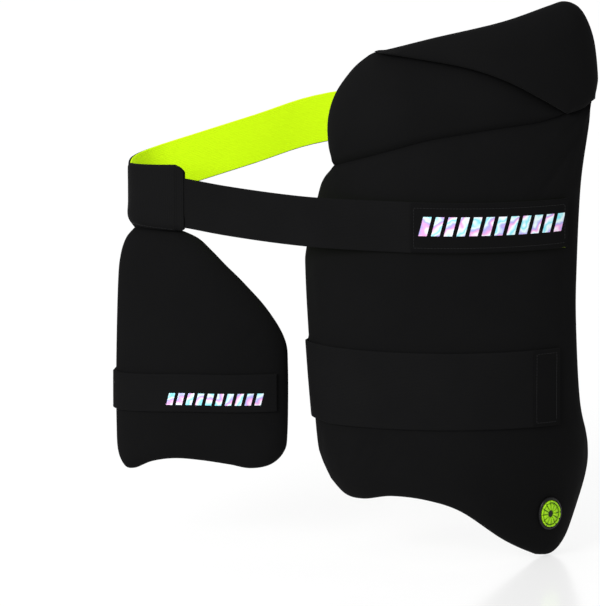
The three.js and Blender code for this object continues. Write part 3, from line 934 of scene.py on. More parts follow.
class Tree:
    """The node tree of one finish."""

    def __init__(self, name: str) -> None:
        """Makes an empty material of a name.

        Args:
            name: the material's name.
        """
        self.material = bpy.data.materials.new(name)
        self.material.use_nodes = True
        self.nodes = self.material.node_tree.nodes
        self.links = self.material.node_tree.links
        self.nodes.clear()

    def node(self, kind: str, settings: dict, inputs: dict, output: int | str = 0) -> Value:
        """Any node: its settings are set first, then the values or links of its sockets.

        Args:
            kind: the node's type.
            settings: its properties; stops holds a ramp's places and colours.
            inputs: values or links by socket name or number.
            output: which output is wanted.

        Returns:
            The wanted output.
        """
        made = self.nodes.new(kind)
        for name, value in settings.items():
            if name == "stops":
                ramp = made.color_ramp.elements
                while len(ramp) < len(value):
                    ramp.new(0.5)
                for element, (place, colour) in zip(ramp, value):
                    element.position = place
                    element.color = (*colour, 1)
            else:
                setattr(made, name, value)
        for name, value in inputs.items():
            if isinstance(value, Value):
                self.links.new(value.socket, made.inputs[name])
            else:
                made.inputs[name].default_value = value
        return Value(self, made.outputs[output])

    def maths(self, operation: str, *values: Input) -> Value:
        """Result of a Math node."""
        return self.node("ShaderNodeMath", {"operation": operation}, dict(enumerate(values)))

    def blend(self, share: Input, low: Input, high: Input) -> Value:
        """Mixes two colours.

        Args:
            share: 0 gives low and 1 gives high.
            low: one colour.
            high: the other.

        Returns:
            The mixed colour.
        """
        ends = [value if isinstance(value, Value) else (*value[:3], 1.0) for value in (low, high)]
        inputs = {0: share, 6: ends[0], 7: ends[1]}
        return self.node("ShaderNodeMix", {"data_type": "RGBA"}, inputs, 2)

    def cloth(self) -> tuple[Value, Value]:
        """The cloth's own coordinates, in metres.

        Returns:
            The distance along, and the distance across.
        """
        vector = self.node("ShaderNodeAttribute", {"attribute_name": "cloth"}, {}, "Vector")
        along = self.node("ShaderNodeSeparateXYZ", {}, {0: vector}, "X")
        across = self.node("ShaderNodeSeparateXYZ", {}, {0: vector}, "Y")
        return along, across

    def wave(self, distance: Value, length: float) -> Value:
        """Sine wave from 0 to 1 over a distance, with crests a length apart, in metres."""
        return self.maths("SINE", distance * (2 * math.pi / length)) * 0.5 + 0.5

    def noise(self, scale: float, detail: float = 3.0) -> Value:
        """Noise over the object's own space.

        Args:
            scale: how fine it is.
            detail: how many layers it has.

        Returns:
            The noise, from 0 to 1.
        """
        place = self.node("ShaderNodeTexCoord", {}, {}, "Object")
        inputs = {"Vector": place, "Scale": scale, "Detail": detail}
        return self.node("ShaderNodeTexNoise", {}, inputs, 0)

    def bump(self, height: Value, strength: float, distance: float, under: Value | None = None) -> Value:
        """Bump from a height.

        Args:
            height: the height, from 0 to 1.
            strength: how strong it is.
            distance: how tall it is, in metres.
            under: a bump below this one.

        Returns:
            The normal.
        """
        inputs: dict = {"Height": height, "Strength": strength, "Distance": distance}
        if under is not None:
            inputs["Normal"] = under
        return self.node("ShaderNodeBump", {}, inputs)

    def surface(self, settings: dict) -> bpy.types.Material:
        """Ends the tree in one shader.

        Args:
            settings: values or links of the shader's sockets.

        Returns:
            The material.
        """
        shader = self.node("ShaderNodeBsdfPrincipled", {}, settings)
        output = self.nodes.new("ShaderNodeOutputMaterial")
        self.links.new(shader.socket, output.inputs["Surface"])
        return self.material


@dataclass(frozen=True)
class Knit:
    """Smooth tricot cover of the pads."""

    colour: Colour = (0.004, 0.004, 0.0042)
    lighter_tone: Colour = (0.006, 0.006, 0.0062)
    wale: float = 0.0011
    course: float = 0.0008

    def material(self, name: str) -> bpy.types.Material:
        """Makes the cover's material.

        Args:
            name: its name.

        Returns:
            The material.
        """
        tree = Tree(name)
        along, across = tree.cloth()
        wales = tree.wave(along, self.wale)
        courses = tree.wave(across + wales * (self.course * 0.4), self.course)
        loops = wales * courses
        patches = tree.noise(14.0, 4.0)
        fuzz = tree.noise(900.0, 2.0)
        tone = patches * 0.75 + fuzz * 0.25
        return tree.surface(
            {
                "Base Color": tree.blend(tone, self.colour, self.lighter_tone),
                "Roughness": 0.96 - patches * 0.1,
                "Specular IOR Level": 0.035,
                "Sheen Weight": 0.008,
                "Sheen Roughness": 0.45,
                "Normal": tree.bump(loops * 0.8 + fuzz * 0.2, 0.35, 0.00025),
            }
        )


@dataclass(frozen=True)
class Webbing:
    """Woven elastic: fine cords along its length, crossed by a close weft."""

    colour: Colour = (0.0038, 0.0038, 0.004)
    # The lighter colour is painted highlight on the weave's raised cords, mixed with random patches.
    lighter_tone: Colour = (0.0068, 0.0068, 0.0071)
    cord: float = 0.0014
    weft: float = 0.0009
    # A glow above 0 is painted glow: the colour is also emitted, so the band looks bright under any light.
    glow: float = 0.0

    def material(self, name: str) -> bpy.types.Material:
        """Makes the elastic's material.

        Args:
            name: its name.

        Returns:
            The material.
        """
        tree = Tree(name)
        along, across = tree.cloth()
        cords = tree.wave(across, self.cord) ** 0.6
        weft = tree.wave(along + cords * (self.weft * 0.25), self.weft)
        weave = cords * 0.6 + weft * 0.4
        patches = tree.noise(22.0)
        # Painted highlight and shade: the tone is lighter on the raised cords and weft and darker between
        # them, with random patches over it.
        tone = tree.blend(weave * 0.6 + patches * 0.4, self.colour, self.lighter_tone)
        settings = {
            "Base Color": tone,
            "Roughness": 0.9 - patches * 0.12,
            "Specular IOR Level": 0.04,
            "Sheen Weight": 0.01,
            "Sheen Roughness": 0.4,
            "Normal": tree.bump(weave, 0.5, 0.0003),
        }
        # Painted glow: the tone is emitted as well as reflected.
        if self.glow > 0:
            settings["Emission Color"] = tone
            settings["Emission Strength"] = self.glow
        return tree.surface(settings)


@dataclass(frozen=True)
class Rubber:
    """Moulded rubber with a slight orange peel."""

    colour: Colour
    scuffed: Colour
    roughness: float
    coat: float

    def material(self, name: str) -> bpy.types.Material:
        """Makes the rubber's material.

        Args:
            name: its name.

        Returns:
            The material.
        """
        tree = Tree(name)
        grain = tree.noise(1400.0, 2.0)
        patches = tree.noise(120.0)
        return tree.surface(
            {
                "Base Color": tree.blend(patches, self.colour, self.scuffed),
                "Roughness": self.roughness + patches * 0.12,
                "Specular IOR Level": 0.16,
                "Coat Weight": self.coat,
                "Coat Roughness": 0.12,
                "Normal": tree.bump(grain, 0.12, 0.0001),
            }
        )


@dataclass(frozen=True)
class Foil:
    """Pressed rainbow foil: its tint turns with the place."""

    roughness: float = 0.3
    # The glow is painted glow: the tint is emitted, a painted sheen on the foil.
    glow: float = 0.12

    def material(self, name: str) -> bpy.types.Material:
        """Makes the foil's material.

        Args:
            name: its name.

        Returns:
            The material.
        """
        tree = Tree(name)
        along, across = tree.cloth()
        drift = tree.noise(60.0, 2.0)
        facets = tree.maths("FRACT", along * 38.0 + across * 61.0 + drift * 2.4)
        stops = [
            (0.0, (0.2, 0.72, 0.82)),
            (0.24, (0.9, 0.95, 1.0)),
            (0.44, (0.85, 0.38, 0.72)),
            (0.6, (0.4, 0.4, 0.82)),
            (0.8, (0.78, 0.92, 0.9)),
            (1.0, (0.2, 0.72, 0.82)),
        ]
        tint = tree.node("ShaderNodeValToRGB", {"stops": stops}, {0: facets})
        return tree.surface(
            {
                "Base Color": tint,
                "Metallic": 0.55 - drift * 0.3,
                "Roughness": self.roughness + facets * 0.12,
                # Painted glow: the tint is emitted as well as reflected.
                "Emission Color": tint,
                "Emission Strength": self.glow,
                "Normal": tree.bump(tree.noise(2500.0, 1.0), 0.15, 0.00005),
            }
        )


@dataclass(frozen=True)
class Thread:
    """Twisted sewing thread."""

    colour: Colour = (0.016, 0.016, 0.017)
    shade: Colour = (0.007, 0.007, 0.0075)

    def material(self, name: str) -> bpy.types.Material:
        """Makes the thread's material.

        Args:
            name: its name.

        Returns:
            The material.
        """
        tree = Tree(name)
        along, across = tree.cloth()
        twist = tree.wave(along + across * 0.8, 0.0006)
        return tree.surface(
            {
                "Base Color": tree.blend(twist, self.shade, self.colour),
                "Roughness": 0.8 - twist * 0.2,
                "Specular IOR Level": 0.3,
                "Normal": tree.bump(twist, 0.4, 0.0001),
            }
        )


@dataclass(frozen=True)
class Ground:
    """Pale studio floor with a faint gloss."""

    colour: Colour = (0.25, 0.25, 0.25)
    shade: Colour = (0.24, 0.24, 0.24)
    glow: float = 0.69

    def material(self, name: str) -> bpy.types.Material:
        """Makes the floor's material.

        Args:
            name: its name.

        Returns:
            The material.
        """
        tree = Tree(name)
        patches = tree.noise(1.5, 2.0)
        return tree.surface(
            {
                "Base Color": tree.blend(patches, self.colour, self.shade),
                "Roughness": 0.16 + patches * 0.06,
                "Specular IOR Level": 0.4,
                "Emission Color": (1.0, 1.0, 1.0, 1.0),
                "Emission Strength": self.glow,
            }
        )


class Finish(Enum):
    """The finishes of the set, each with the record's slot that it stands for."""

    KNIT = (Knit(), "pad_fabric")
    TAB_KNIT = (Knit(colour=(0.0037, 0.0037, 0.0039), lighter_tone=(0.0054, 0.0054, 0.0056)), "pad_fabric")
    ELASTIC = (Webbing(), "elastic")
    # The lime's glow of 0.22 is painted glow that stands in for the fluorescent fabric's brightness.
    LIME = (Webbing((0.58, 0.93, 0.005), (0.68, 1.0, 0.008), 0.0017, 0.001, 0.22), "belt_lining")
    BADGE_BLACK = (Rubber((0.004, 0.004, 0.0043), (0.006, 0.006, 0.0063), 0.42, 0.12), "badge_rubber")
    BADGE_LIME = (Rubber((0.36, 0.72, 0.008), (0.46, 0.86, 0.014), 0.5, 0.08), "badge_emblem")
    FOIL = (Foil(), None)
    THREAD = (Thread(), None)

    def material(self) -> bpy.types.Material:
        """This finish's material, made once."""
        name = f"finish_{self.name.lower()}"
        return bpy.data.materials.get(name) or self.value[0].material(name)


# The set's own frame


@dataclass(frozen=True)
class Frame:
    """A frame that a sub-assembly is made in: where it stands, and its clockwise turn seen from above."""

    origin: tuple[float, float, float]
    yaw: float = 0.0
    parent: "Frame | None" = None

    def place(self, points: Array) -> Array:
        """Takes points of this frame to the model's own frame.

        Args:
            points: the points.

        Returns:
            The points in the model's frame.
        """
        cosine, sine = math.cos(math.radians(self.yaw)), math.sin(math.radians(self.yaw))
        turned = points @ np.array([[cosine, -sine, 0], [sine, cosine, 0], [0, 0, 1]])
        moved = turned + np.array(self.origin)
        return self.parent.place(moved) if self.parent else moved


@dataclass
class Workshop:
    """Turns skins into named pieces of the set, and reports each."""

    made: list[str] = field(default_factory=list)

    def piece(
        self, name: str, skin: Skin, where: Frame, finish: Finish, nodes: tuple[str, ...] = ()
    ) -> bpy.types.Object:
        """Makes a named piece from a skin.

        Args:
            name: the piece's name.
            skin: its closed surface.
            where: the frame that it was made in.
            finish: its finish.
            nodes: the nodes that it stands for.

        Returns:
            The piece.
        """
        mesh = bpy.data.meshes.new(name)
        points = where.place(skin.points) * MM
        mesh.from_pydata(points.tolist(), [], skin.faces)
        cloth = np.concatenate([skin.cloth * MM, np.zeros((len(points), 1))], axis=1)
        layer = mesh.attributes.new("cloth", "FLOAT_VECTOR", "POINT")
        layer.data.foreach_set("vector", cloth.astype(np.float32).ravel())
        mesh.shade_smooth()
        mesh.set_sharp_from_angle(angle=math.radians(SHARP_DEGREES))
        mesh.materials.append(finish.material())
        made = bpy.data.objects.new(name, mesh)
        bpy.context.scene.collection.objects.link(made)
        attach(made, BODY)
        if nodes:
            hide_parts(*nodes)
        self.made.append(name)
        log.info("%s: %d points, %d faces", name, len(points), len(skin.faces))
        return made


@dataclass(frozen=True)
class Stuffing:
    """Swells a padded cover by cloth simulation, least under the bands that press on it."""

    pressed: tuple[tuple[float, float], ...]
    pressure: float = 4.0
    frames: int = 20
    pinned_rim: float = 2.5
    pressed_limit: float = 0.3
    free_limit: float = 2.2
    spread: float = 22.0
    band_edge: float = 2.0

    def limits(self, heights: Array, clear: Array) -> Array:
        """How far each point may move.

        Args:
            heights: heights of the points.
            clear: their distances from the rim.

        Returns:
            The limits.
        """
        apart = np.full_like(heights, 1e3)
        for low, high in self.pressed:
            apart = np.minimum(apart, np.maximum(np.maximum(low - heights, heights - high), 0))
        freedom = smoothstep(apart, self.band_edge, self.spread)
        limit = self.pressed_limit + (self.free_limit - self.pressed_limit) * freedom
        return limit * smoothstep(clear, self.pinned_rim, self.spread)

    def swell(self, made: bpy.types.Object, clear: Array) -> None:
        """Runs the simulation on a cover and keeps its result.

        Args:
            made: the cover.
            clear: distance of each of its points from the rim.
        """
        scene = bpy.context.scene
        group = made.vertex_groups.new(name="rim")
        group.add(np.flatnonzero(clear < self.pinned_rim).tolist(), 1.0, "REPLACE")
        cloth = made.modifiers.new("cloth", "CLOTH")
        cloth.settings.use_pressure = True
        cloth.settings.uniform_pressure_force = self.pressure
        cloth.settings.vertex_group_mass = group.name
        cloth.settings.effector_weights.gravity = 0
        for step in range(1, self.frames + 1):
            scene.frame_set(step)
        count = len(made.data.vertices)
        rest, moved = np.empty(count * 3), np.empty(count * 3)
        made.data.vertices.foreach_get("co", rest)
        made.evaluated_get(bpy.context.evaluated_depsgraph_get()).data.vertices.foreach_get("co", moved)
        rest, moved = rest.reshape(-1, 3), moved.reshape(-1, 3)
        made.modifiers.remove(cloth)
        made.vertex_groups.remove(group)
        scene.frame_set(1)
        move = moved - rest
        length = np.linalg.norm(move, axis=1)
        limit = self.limits(rest[:, 2] / MM, clear) * MM
        allowed = limit * np.tanh(length / np.maximum(limit, 1e-9))
        kept = rest + move * (allowed / np.maximum(length, 1e-12))[:, None]
        made.data.vertices.foreach_set("co", kept.ravel())
        made.data.update()
        log.info("%s: swelled by up to %.2f mm", made.name, float(allowed.max()) / MM)


OUTER_FRAME = Frame((92.0, -128.0, 0.0))
INNER_FRAME = Frame((-238.0, 62.0, 0.0), 8.0, OUTER_FRAME)

# Outlines: each corner is a share of the half width across, and a share of the height upwards or,
# on the inner guard, downwards
LOW_CREASE = (
    (-0.78, 0.095), (-0.65, 0.108), (-0.38, 0.132), (-0.11, 0.153), (0.29, 0.171), (0.6, 0.181),
    (0.785, 0.193),
)
CREASE_TAIL = ((0.785, 0.193), (0.9, 0.199), (0.972, 0.212))
HIGH_CREASE = ((-0.5, 0.3), (-0.25, 0.295), (0.1, 0.281), (0.37, 0.257), (0.62, 0.221), (0.785, 0.193))
HIP_RIM = (
    (-0.78, 0.095), (-0.822, 0.123), (-0.826, 0.173), (-0.775, 0.221), (-0.665, 0.266), (-0.56, 0.292),
    (-0.5, 0.3),
)
FLAP_RIM = (
    (-0.5, 0.3), (-0.11, 0.329), (0.36, 0.357), (0.67, 0.381), (0.8, 0.388), (0.9, 0.373),
    (0.977, 0.325), (1.007, 0.26), (1.0, 0.233), (0.972, 0.212),
)
RIGHT_RIM = (
    (0.972, 0.212), (0.968, 0.17), (0.912, 0.06), (0.888, -0.09), (0.888, -0.19), (0.922, -0.335),
    (0.99, -0.425), (0.985, -0.48), (0.905, -0.547), (0.81, -0.6), (0.725, -0.6205), (0.63, -0.617),
)
BOTTOM_RIM = (
    (0.63, -0.617), (0.4, -0.581), (0.1, -0.524), (-0.14, -0.502), (-0.385, -0.497), (-0.58, -0.508),
    (-0.7, -0.505), (-0.8, -0.48),
)
LEFT_RIM = (
    (-0.8, -0.48), (-0.87, -0.44), (-0.905, -0.397), (-0.955, -0.25), (-0.985, -0.107), (-0.977, -0.055),
    (-0.905, 0.035), (-0.86, 0.071), (-0.78, 0.095),
)
INNER_TOP = ((-0.23, 0.0), (-0.5, 0.0), (-0.78, 0.0))
INNER_RIM = (
    (-0.78, 0.0), (-0.885, 0.045), (-0.953, 0.12), (-0.985, 0.24), (-1.012, 0.58), (-1.015, 0.82),
    (-1.0, 0.94), (-0.92, 1.003), (-0.81, 1.011), (-0.59, 0.974), (-0.31, 0.954), (0.0, 0.957),
    (0.33, 0.973), (0.57, 0.99), (0.8, 0.977), (0.95, 0.925), (0.99, 0.84), (0.997, 0.57),
    (0.962, 0.45), (0.77, 0.325), (0.51, 0.215), (0.3, 0.14), (0.135, 0.08), (-0.025, 0.03), (-0.23, 0.0),
)

# Belt's free stretch seen from above: shares of the waist's half width across and half depth back,
# and of the belt's rise
BELT_ROUTE = (
    (-0.12, -0.85, 0.02), (-0.31, -0.74, 0.04), (-0.57, -0.595, 0.11), (-0.755, -0.48, 0.18),
    (-0.885, -0.395, 0.2), (-0.965, -0.315, 0.23), (-0.985, -0.21, 0.25), (-0.99, -0.05, 0.28),
    (-0.97, 0.11, 0.3), (-0.9, 0.26, 0.35), (-0.685, 0.44, 0.52), (-0.435, 0.625, 0.72),
    (-0.165, 0.83, 0.94), (0.2, 1.01, 1.04), (0.575, 1.01, 1.02), (0.86, 0.8, 0.91),
    (0.985, 0.4, 0.81), (1.0, -0.02, 0.75), (0.97, -0.34, 0.72),
)

# Turn of a leg strap round a guard's edge: distance inwards, and share of the front's thickness
STRAP_TURN = ((12.0, 0.86), (4.0, 0.64), (0.5, 0.44), (-1.5, 0.12))

# Return of a band to a guard's inner face: distance inwards, and distance off the face
BAND_RETURN = ((0.0, 6.0), (6.0, 3.0), (14.0, 1.8), (24.0, 1.4), (34.0, 1.2))

# Turns of a leg strap's half ellipse behind the leg, in degrees from its left end
LOOP_TURNS = (0, 22, 45, 68, 90, 112, 135, 158, 176)

# Belt front's rows, and free rows, over which the lining's shift changes
FRONT_SHIFT_ROWS = (0.4, 1.6)
FREE_SHIFT_ROWS = (5, 9)

# Hanger: stations near its edges, shares of its legs' height, and turns of its fold in degrees
HANGER_STATIONS = (0, 0.3, 0.9, 2.4, 4.2, 5.2, 5.6, 6.4)
LEG_SHARES = (0, 0.33, 0.66, 1)
FOLD_TURNS = (22, 45, 67, 90, 113, 135, 158)

# Stitch: stations along it, the share of its width and the share of its rise at each
STITCH_STATIONS = (-1, -0.62, 0, 0.62, 1)
STITCH_WIDTHS = (0.3, 0.85, 1, 0.85, 0.3)
STITCH_RISES = (-0.1, 0.6, 1, 0.6, -0.1)
STITCH_SIDES = 6

# Badge's base from its middle outwards, over the edge bead and back: radius share, and height
BADGE_PROFILE = (
    (0.02, 0.4), (0.5, 0.4), (0.96, 0.4), (1.0, 0.9), (1.005, 1.7), (0.99, 2.5), (0.955, 3.1),
    (0.91, 3.35), (0.87, 3.1), (0.845, 2.55), (0.8, 2.35), (0.5, 2.4), (0.02, 2.4),
)

LAYER_GAP = 0.4
BAND_GAP = 0.7
BAND_STEP = 11.0
TAB_THICKNESS = 1.2
RIM_STEP = 2.6


def even_steps(start: float, end: float, longest: float) -> Array:
    """Even steps from one value to another, no longer than a given step."""
    return np.linspace(start, end, max(1, math.ceil(abs(end - start) / longest)) + 1)


def return_rows(padding: Padding, heights: Array, start: float, stack: float) -> Array:
    """Rows that bring a band to a guard's inner face, inside its right edge.

    Args:
        padding: the guard's padding.
        heights: height of each side of the band.
        start: how far inside the edge they start.
        stack: how thick the band is.

    Returns:
        The rows.
    """
    edges = np.array([padding.outline.edge_across(height, 1) for height in heights])
    rows = [
        padding.back_at(edges - start - inset, heights, LAYER_GAP + stack + clear)
        for inset, clear in BAND_RETURN
    ]
    return np.stack(rows)


@dataclass
class Stitching:
    """Rows of short raised stitches along a line."""

    length: float = 2.3
    pitch: float = 3.1
    width: float = 0.42
    rise: float = 0.16
    path_step: float = 1.0

    def row(self, line: Array, outward: Array) -> Skin:
        """Stitches along a line.

        Args:
            line: the line's points.
            outward: the outward direction at each point.

        Returns:
            The stitches as one skin.
        """
        run = run_along(line)
        starts = np.arange(self.pitch / 2, run[-1] - self.pitch / 2, self.pitch)
        marks = starts[:, None] + np.array(STITCH_STATIONS)[None] * self.length / 2

        def along(values: Array) -> Array:
            """Values of the line at the stitches' stations."""
            return np.stack([np.interp(marks, run, column) for column in values.T], axis=-1)

        centre, up = along(line), unit(along(outward))
        ahead = unit(centre[:, -1:] - centre[:, :1]) * np.ones_like(centre)
        aside = unit(np.cross(up, ahead))
        radius = np.array(STITCH_WIDTHS)[None, :, None, None] * self.width / 2
        lift = np.array(STITCH_RISES)[None, :, None] * self.rise
        angle = np.linspace(0, 2 * math.pi, STITCH_SIDES, endpoint=False)[None, None, :, None]
        ring = aside[:, :, None] * np.cos(angle) + up[:, :, None] * np.sin(angle)
        points = (centre + up * lift)[:, :, None] + ring * radius
        faces = []
        rings = len(STITCH_STATIONS)
        for stitch in range(len(starts)):
            faces += tube_faces(stitch * rings * STITCH_SIDES, rings, STITCH_SIDES)
        twist = np.broadcast_to(marks[:, :, None], points.shape[:3])
        turn = np.broadcast_to(angle[..., 0] * self.width / 2, points.shape[:3])
        return Skin(points.reshape(-1, 3), faces, np.stack([twist, turn], axis=-1).reshape(-1, 2))

    def box(self, band: Band, start: float, end: float, reach: float, lift: float) -> Skin:
        """Stitches round a rectangle on a band.

        Args:
            band: the band.
            start: distance along the band at which the rectangle starts.
            end: distance at which it ends.
            reach: how far it reaches up and down from the band's middle line.
            lift: distance out from the reference sheet.

        Returns:
            The stitches as one skin.
        """
        corners = [(start, -reach), (end, -reach), (end, reach), (start, reach), (start, -reach)]
        path = even_points(np.array(corners, float), self.path_step)
        points, outward = band_points(band, path[:, 0], path[:, 1])
        return self.row(points + outward * lift, outward)


def band_points(band: Band, along: Array, across: Array) -> tuple[Array, Array]:
    """Points of a band's reference sheet by distance.

    Args:
        band: the band.
        along: distances along from its start.
        across: heights from its middle line.

    Returns:
        The points and the outward directions.
    """
    reach = band.place_of(0, float(np.max(along)) + SHEET_MARGIN)
    fine = np.linspace(0, reach, SHEET_SAMPLES)
    points, outward = band.sheet(fine)
    row = np.interp(along, band.run(fine), np.arange(len(fine)))
    side = np.interp(across / (band.width / 2), band.sides, np.arange(len(band.sides)))
    low_row = np.minimum(row.astype(int), len(fine) - 2)
    low_side = np.minimum(side.astype(int), len(band.sides) - 2)
    row_share, side_share = (row - low_row)[..., None], (side - low_side)[..., None]

    def blended(values: Array) -> Array:
        """Blends values between the four nearest points of the sheet.

        Args:
            values: the sheet's values, by row and side.

        Returns:
            The blended values.
        """
        near, far = (
            values[line, low_side] * (1 - side_share) + values[line, low_side + 1] * side_share
            for line in (low_row, low_row + 1)
        )
        return near * (1 - row_share) + far * row_share

    return blended(points), unit(blended(outward))


@dataclass
class FoilBars:
    """A generic row of slanted foil bars, pressed on a band."""

    start: float
    count: int
    width: float
    gap: float
    low: float
    high: float
    slant: float = 0.26
    thickness: float = 0.12
    stations: tuple[int, int] = (5, 9)

    def skin(self, band: Band, lift: float) -> Skin:
        """The bars as one skin.

        Args:
            band: the band that they are pressed on.
            lift: distance of its surface from its reference sheet.

        Returns:
            The bars.
        """
        bars = []
        across = np.linspace(self.low, self.high, self.stations[1])
        breadth = np.linspace(0, self.width, self.stations[0])
        for number in range(self.count):
            begin = self.start + number * (self.width + self.gap)
            along = begin + breadth[:, None] - self.slant * (across - self.low)[None]
            wide = np.broadcast_to(across[None], along.shape)
            points, outward = band_points(band, along, wide)
            half = np.full(along.shape, self.thickness / 2)
            middle = points + outward * (lift + self.thickness / 2)
            bars.append(strip_skin(middle, outward, half, np.stack([along, wide], axis=-1)))
        return Skin.joined(bars)


@dataclass
class OuterGuard:
    """The large guard: a main pad, a hip panel above its soft crease, and a flap that laps over that.

    inset_rims are the rim shares between which the outline turns from rim_inset inwards to
    seam_overlap outwards. pressed holds the heights that the belt, the strap and the badge cover.
    """

    half_width: float = 135.0
    height: float = 538.0
    main_thickness: float = 14.0
    hip_thickness: float = 18.0
    flap_thickness: float = 22.0
    backing: float = 5.0
    front_round: float = 34.0
    back_round: float = 6.0
    front_lip: float = 2.4
    back_lip: float = 1.2
    rim_inset: float = 0.4
    seam_overlap: float = 0.6
    inset_rims: tuple[float, float] = (0.2, 0.4)
    pressed: tuple[tuple[float, float], ...] = ((-24, 24), (-196, -120), (-340, -258))
    main: Padding = field(init=False)
    hip: Padding = field(init=False)
    flap: Padding = field(init=False)

    def __post_init__(self) -> None:
        """Works out the three paddings."""
        self.main = self.padding(
            self.main_thickness,
            [
                (LOW_CREASE, Rim.LOW_CREASE), (CREASE_TAIL, Rim.LOW_CREASE), (RIGHT_RIM, Rim.FREE),
                (BOTTOM_RIM, Rim.FREE), (LEFT_RIM, Rim.FREE),
            ],
        )
        self.hip = self.padding(
            self.hip_thickness,
            [
                (LOW_CREASE, Rim.LOW_CREASE), (HIGH_CREASE[::-1], Rim.HIGH_CREASE_UNDER),
                (HIP_RIM[::-1], Rim.FREE),
            ],
        )
        self.flap = self.padding(
            self.flap_thickness,
            [
                (HIGH_CREASE, Rim.HIGH_CREASE_OVER), (CREASE_TAIL, Rim.LOW_CREASE),
                (FLAP_RIM[::-1], Rim.FREE),
            ],
        )

    def shell(self) -> Shell:
        """The seam surface that all three panels lie on."""
        return Shell(
            seam_depth=self.main_thickness, curl_depth=105.0, curl_half_width=self.half_width + 15.0,
            bow_radius=2500.0, bow_centre=-40.0, lean=0.12, hem_tuck=0.2, hem_start=-150.0, hem_reach=170.0,
        )

    def padding(self, thickness: float, stretches: list[tuple[tuple, Rim]]) -> Padding:
        """Padding of one panel.

        Args:
            thickness: its thickness in front of the seam surface.
            stretches: the stretches of its outline.

        Returns:
            The padding.
        """
        scale = np.array([self.half_width, self.height])
        outline = Outline.sewn([(np.array(corners) * scale, rim) for corners, rim in stretches], RIM_STEP)
        inset = np.interp(outline.rims, self.inset_rims, (self.rim_inset, -self.seam_overlap))
        front = Face(thickness, self.front_round, self.front_lip)
        back = Face(self.backing, self.back_round, self.back_lip)
        return Padding(self.shell(), outline.inset(inset), front, back)

    def build(self, shop: Workshop) -> None:
        """Makes the three padded covers.

        Args:
            shop: the workshop.
        """
        cut = PanelCut()
        stuffing = Stuffing(self.pressed)
        for name, padding, node in [
            ("main_pad_cover", self.main, "outer_main_pad"),
            ("hip_panel_cover", self.hip, "outer_hip_panel"),
            ("top_flap_cover", self.flap, "outer_top_flap"),
        ]:
            skin = cut.panel(padding)
            cover = shop.piece(name, skin, OUTER_FRAME, Finish.KNIT, (node,))
            stuffing.swell(cover, skin.clear)


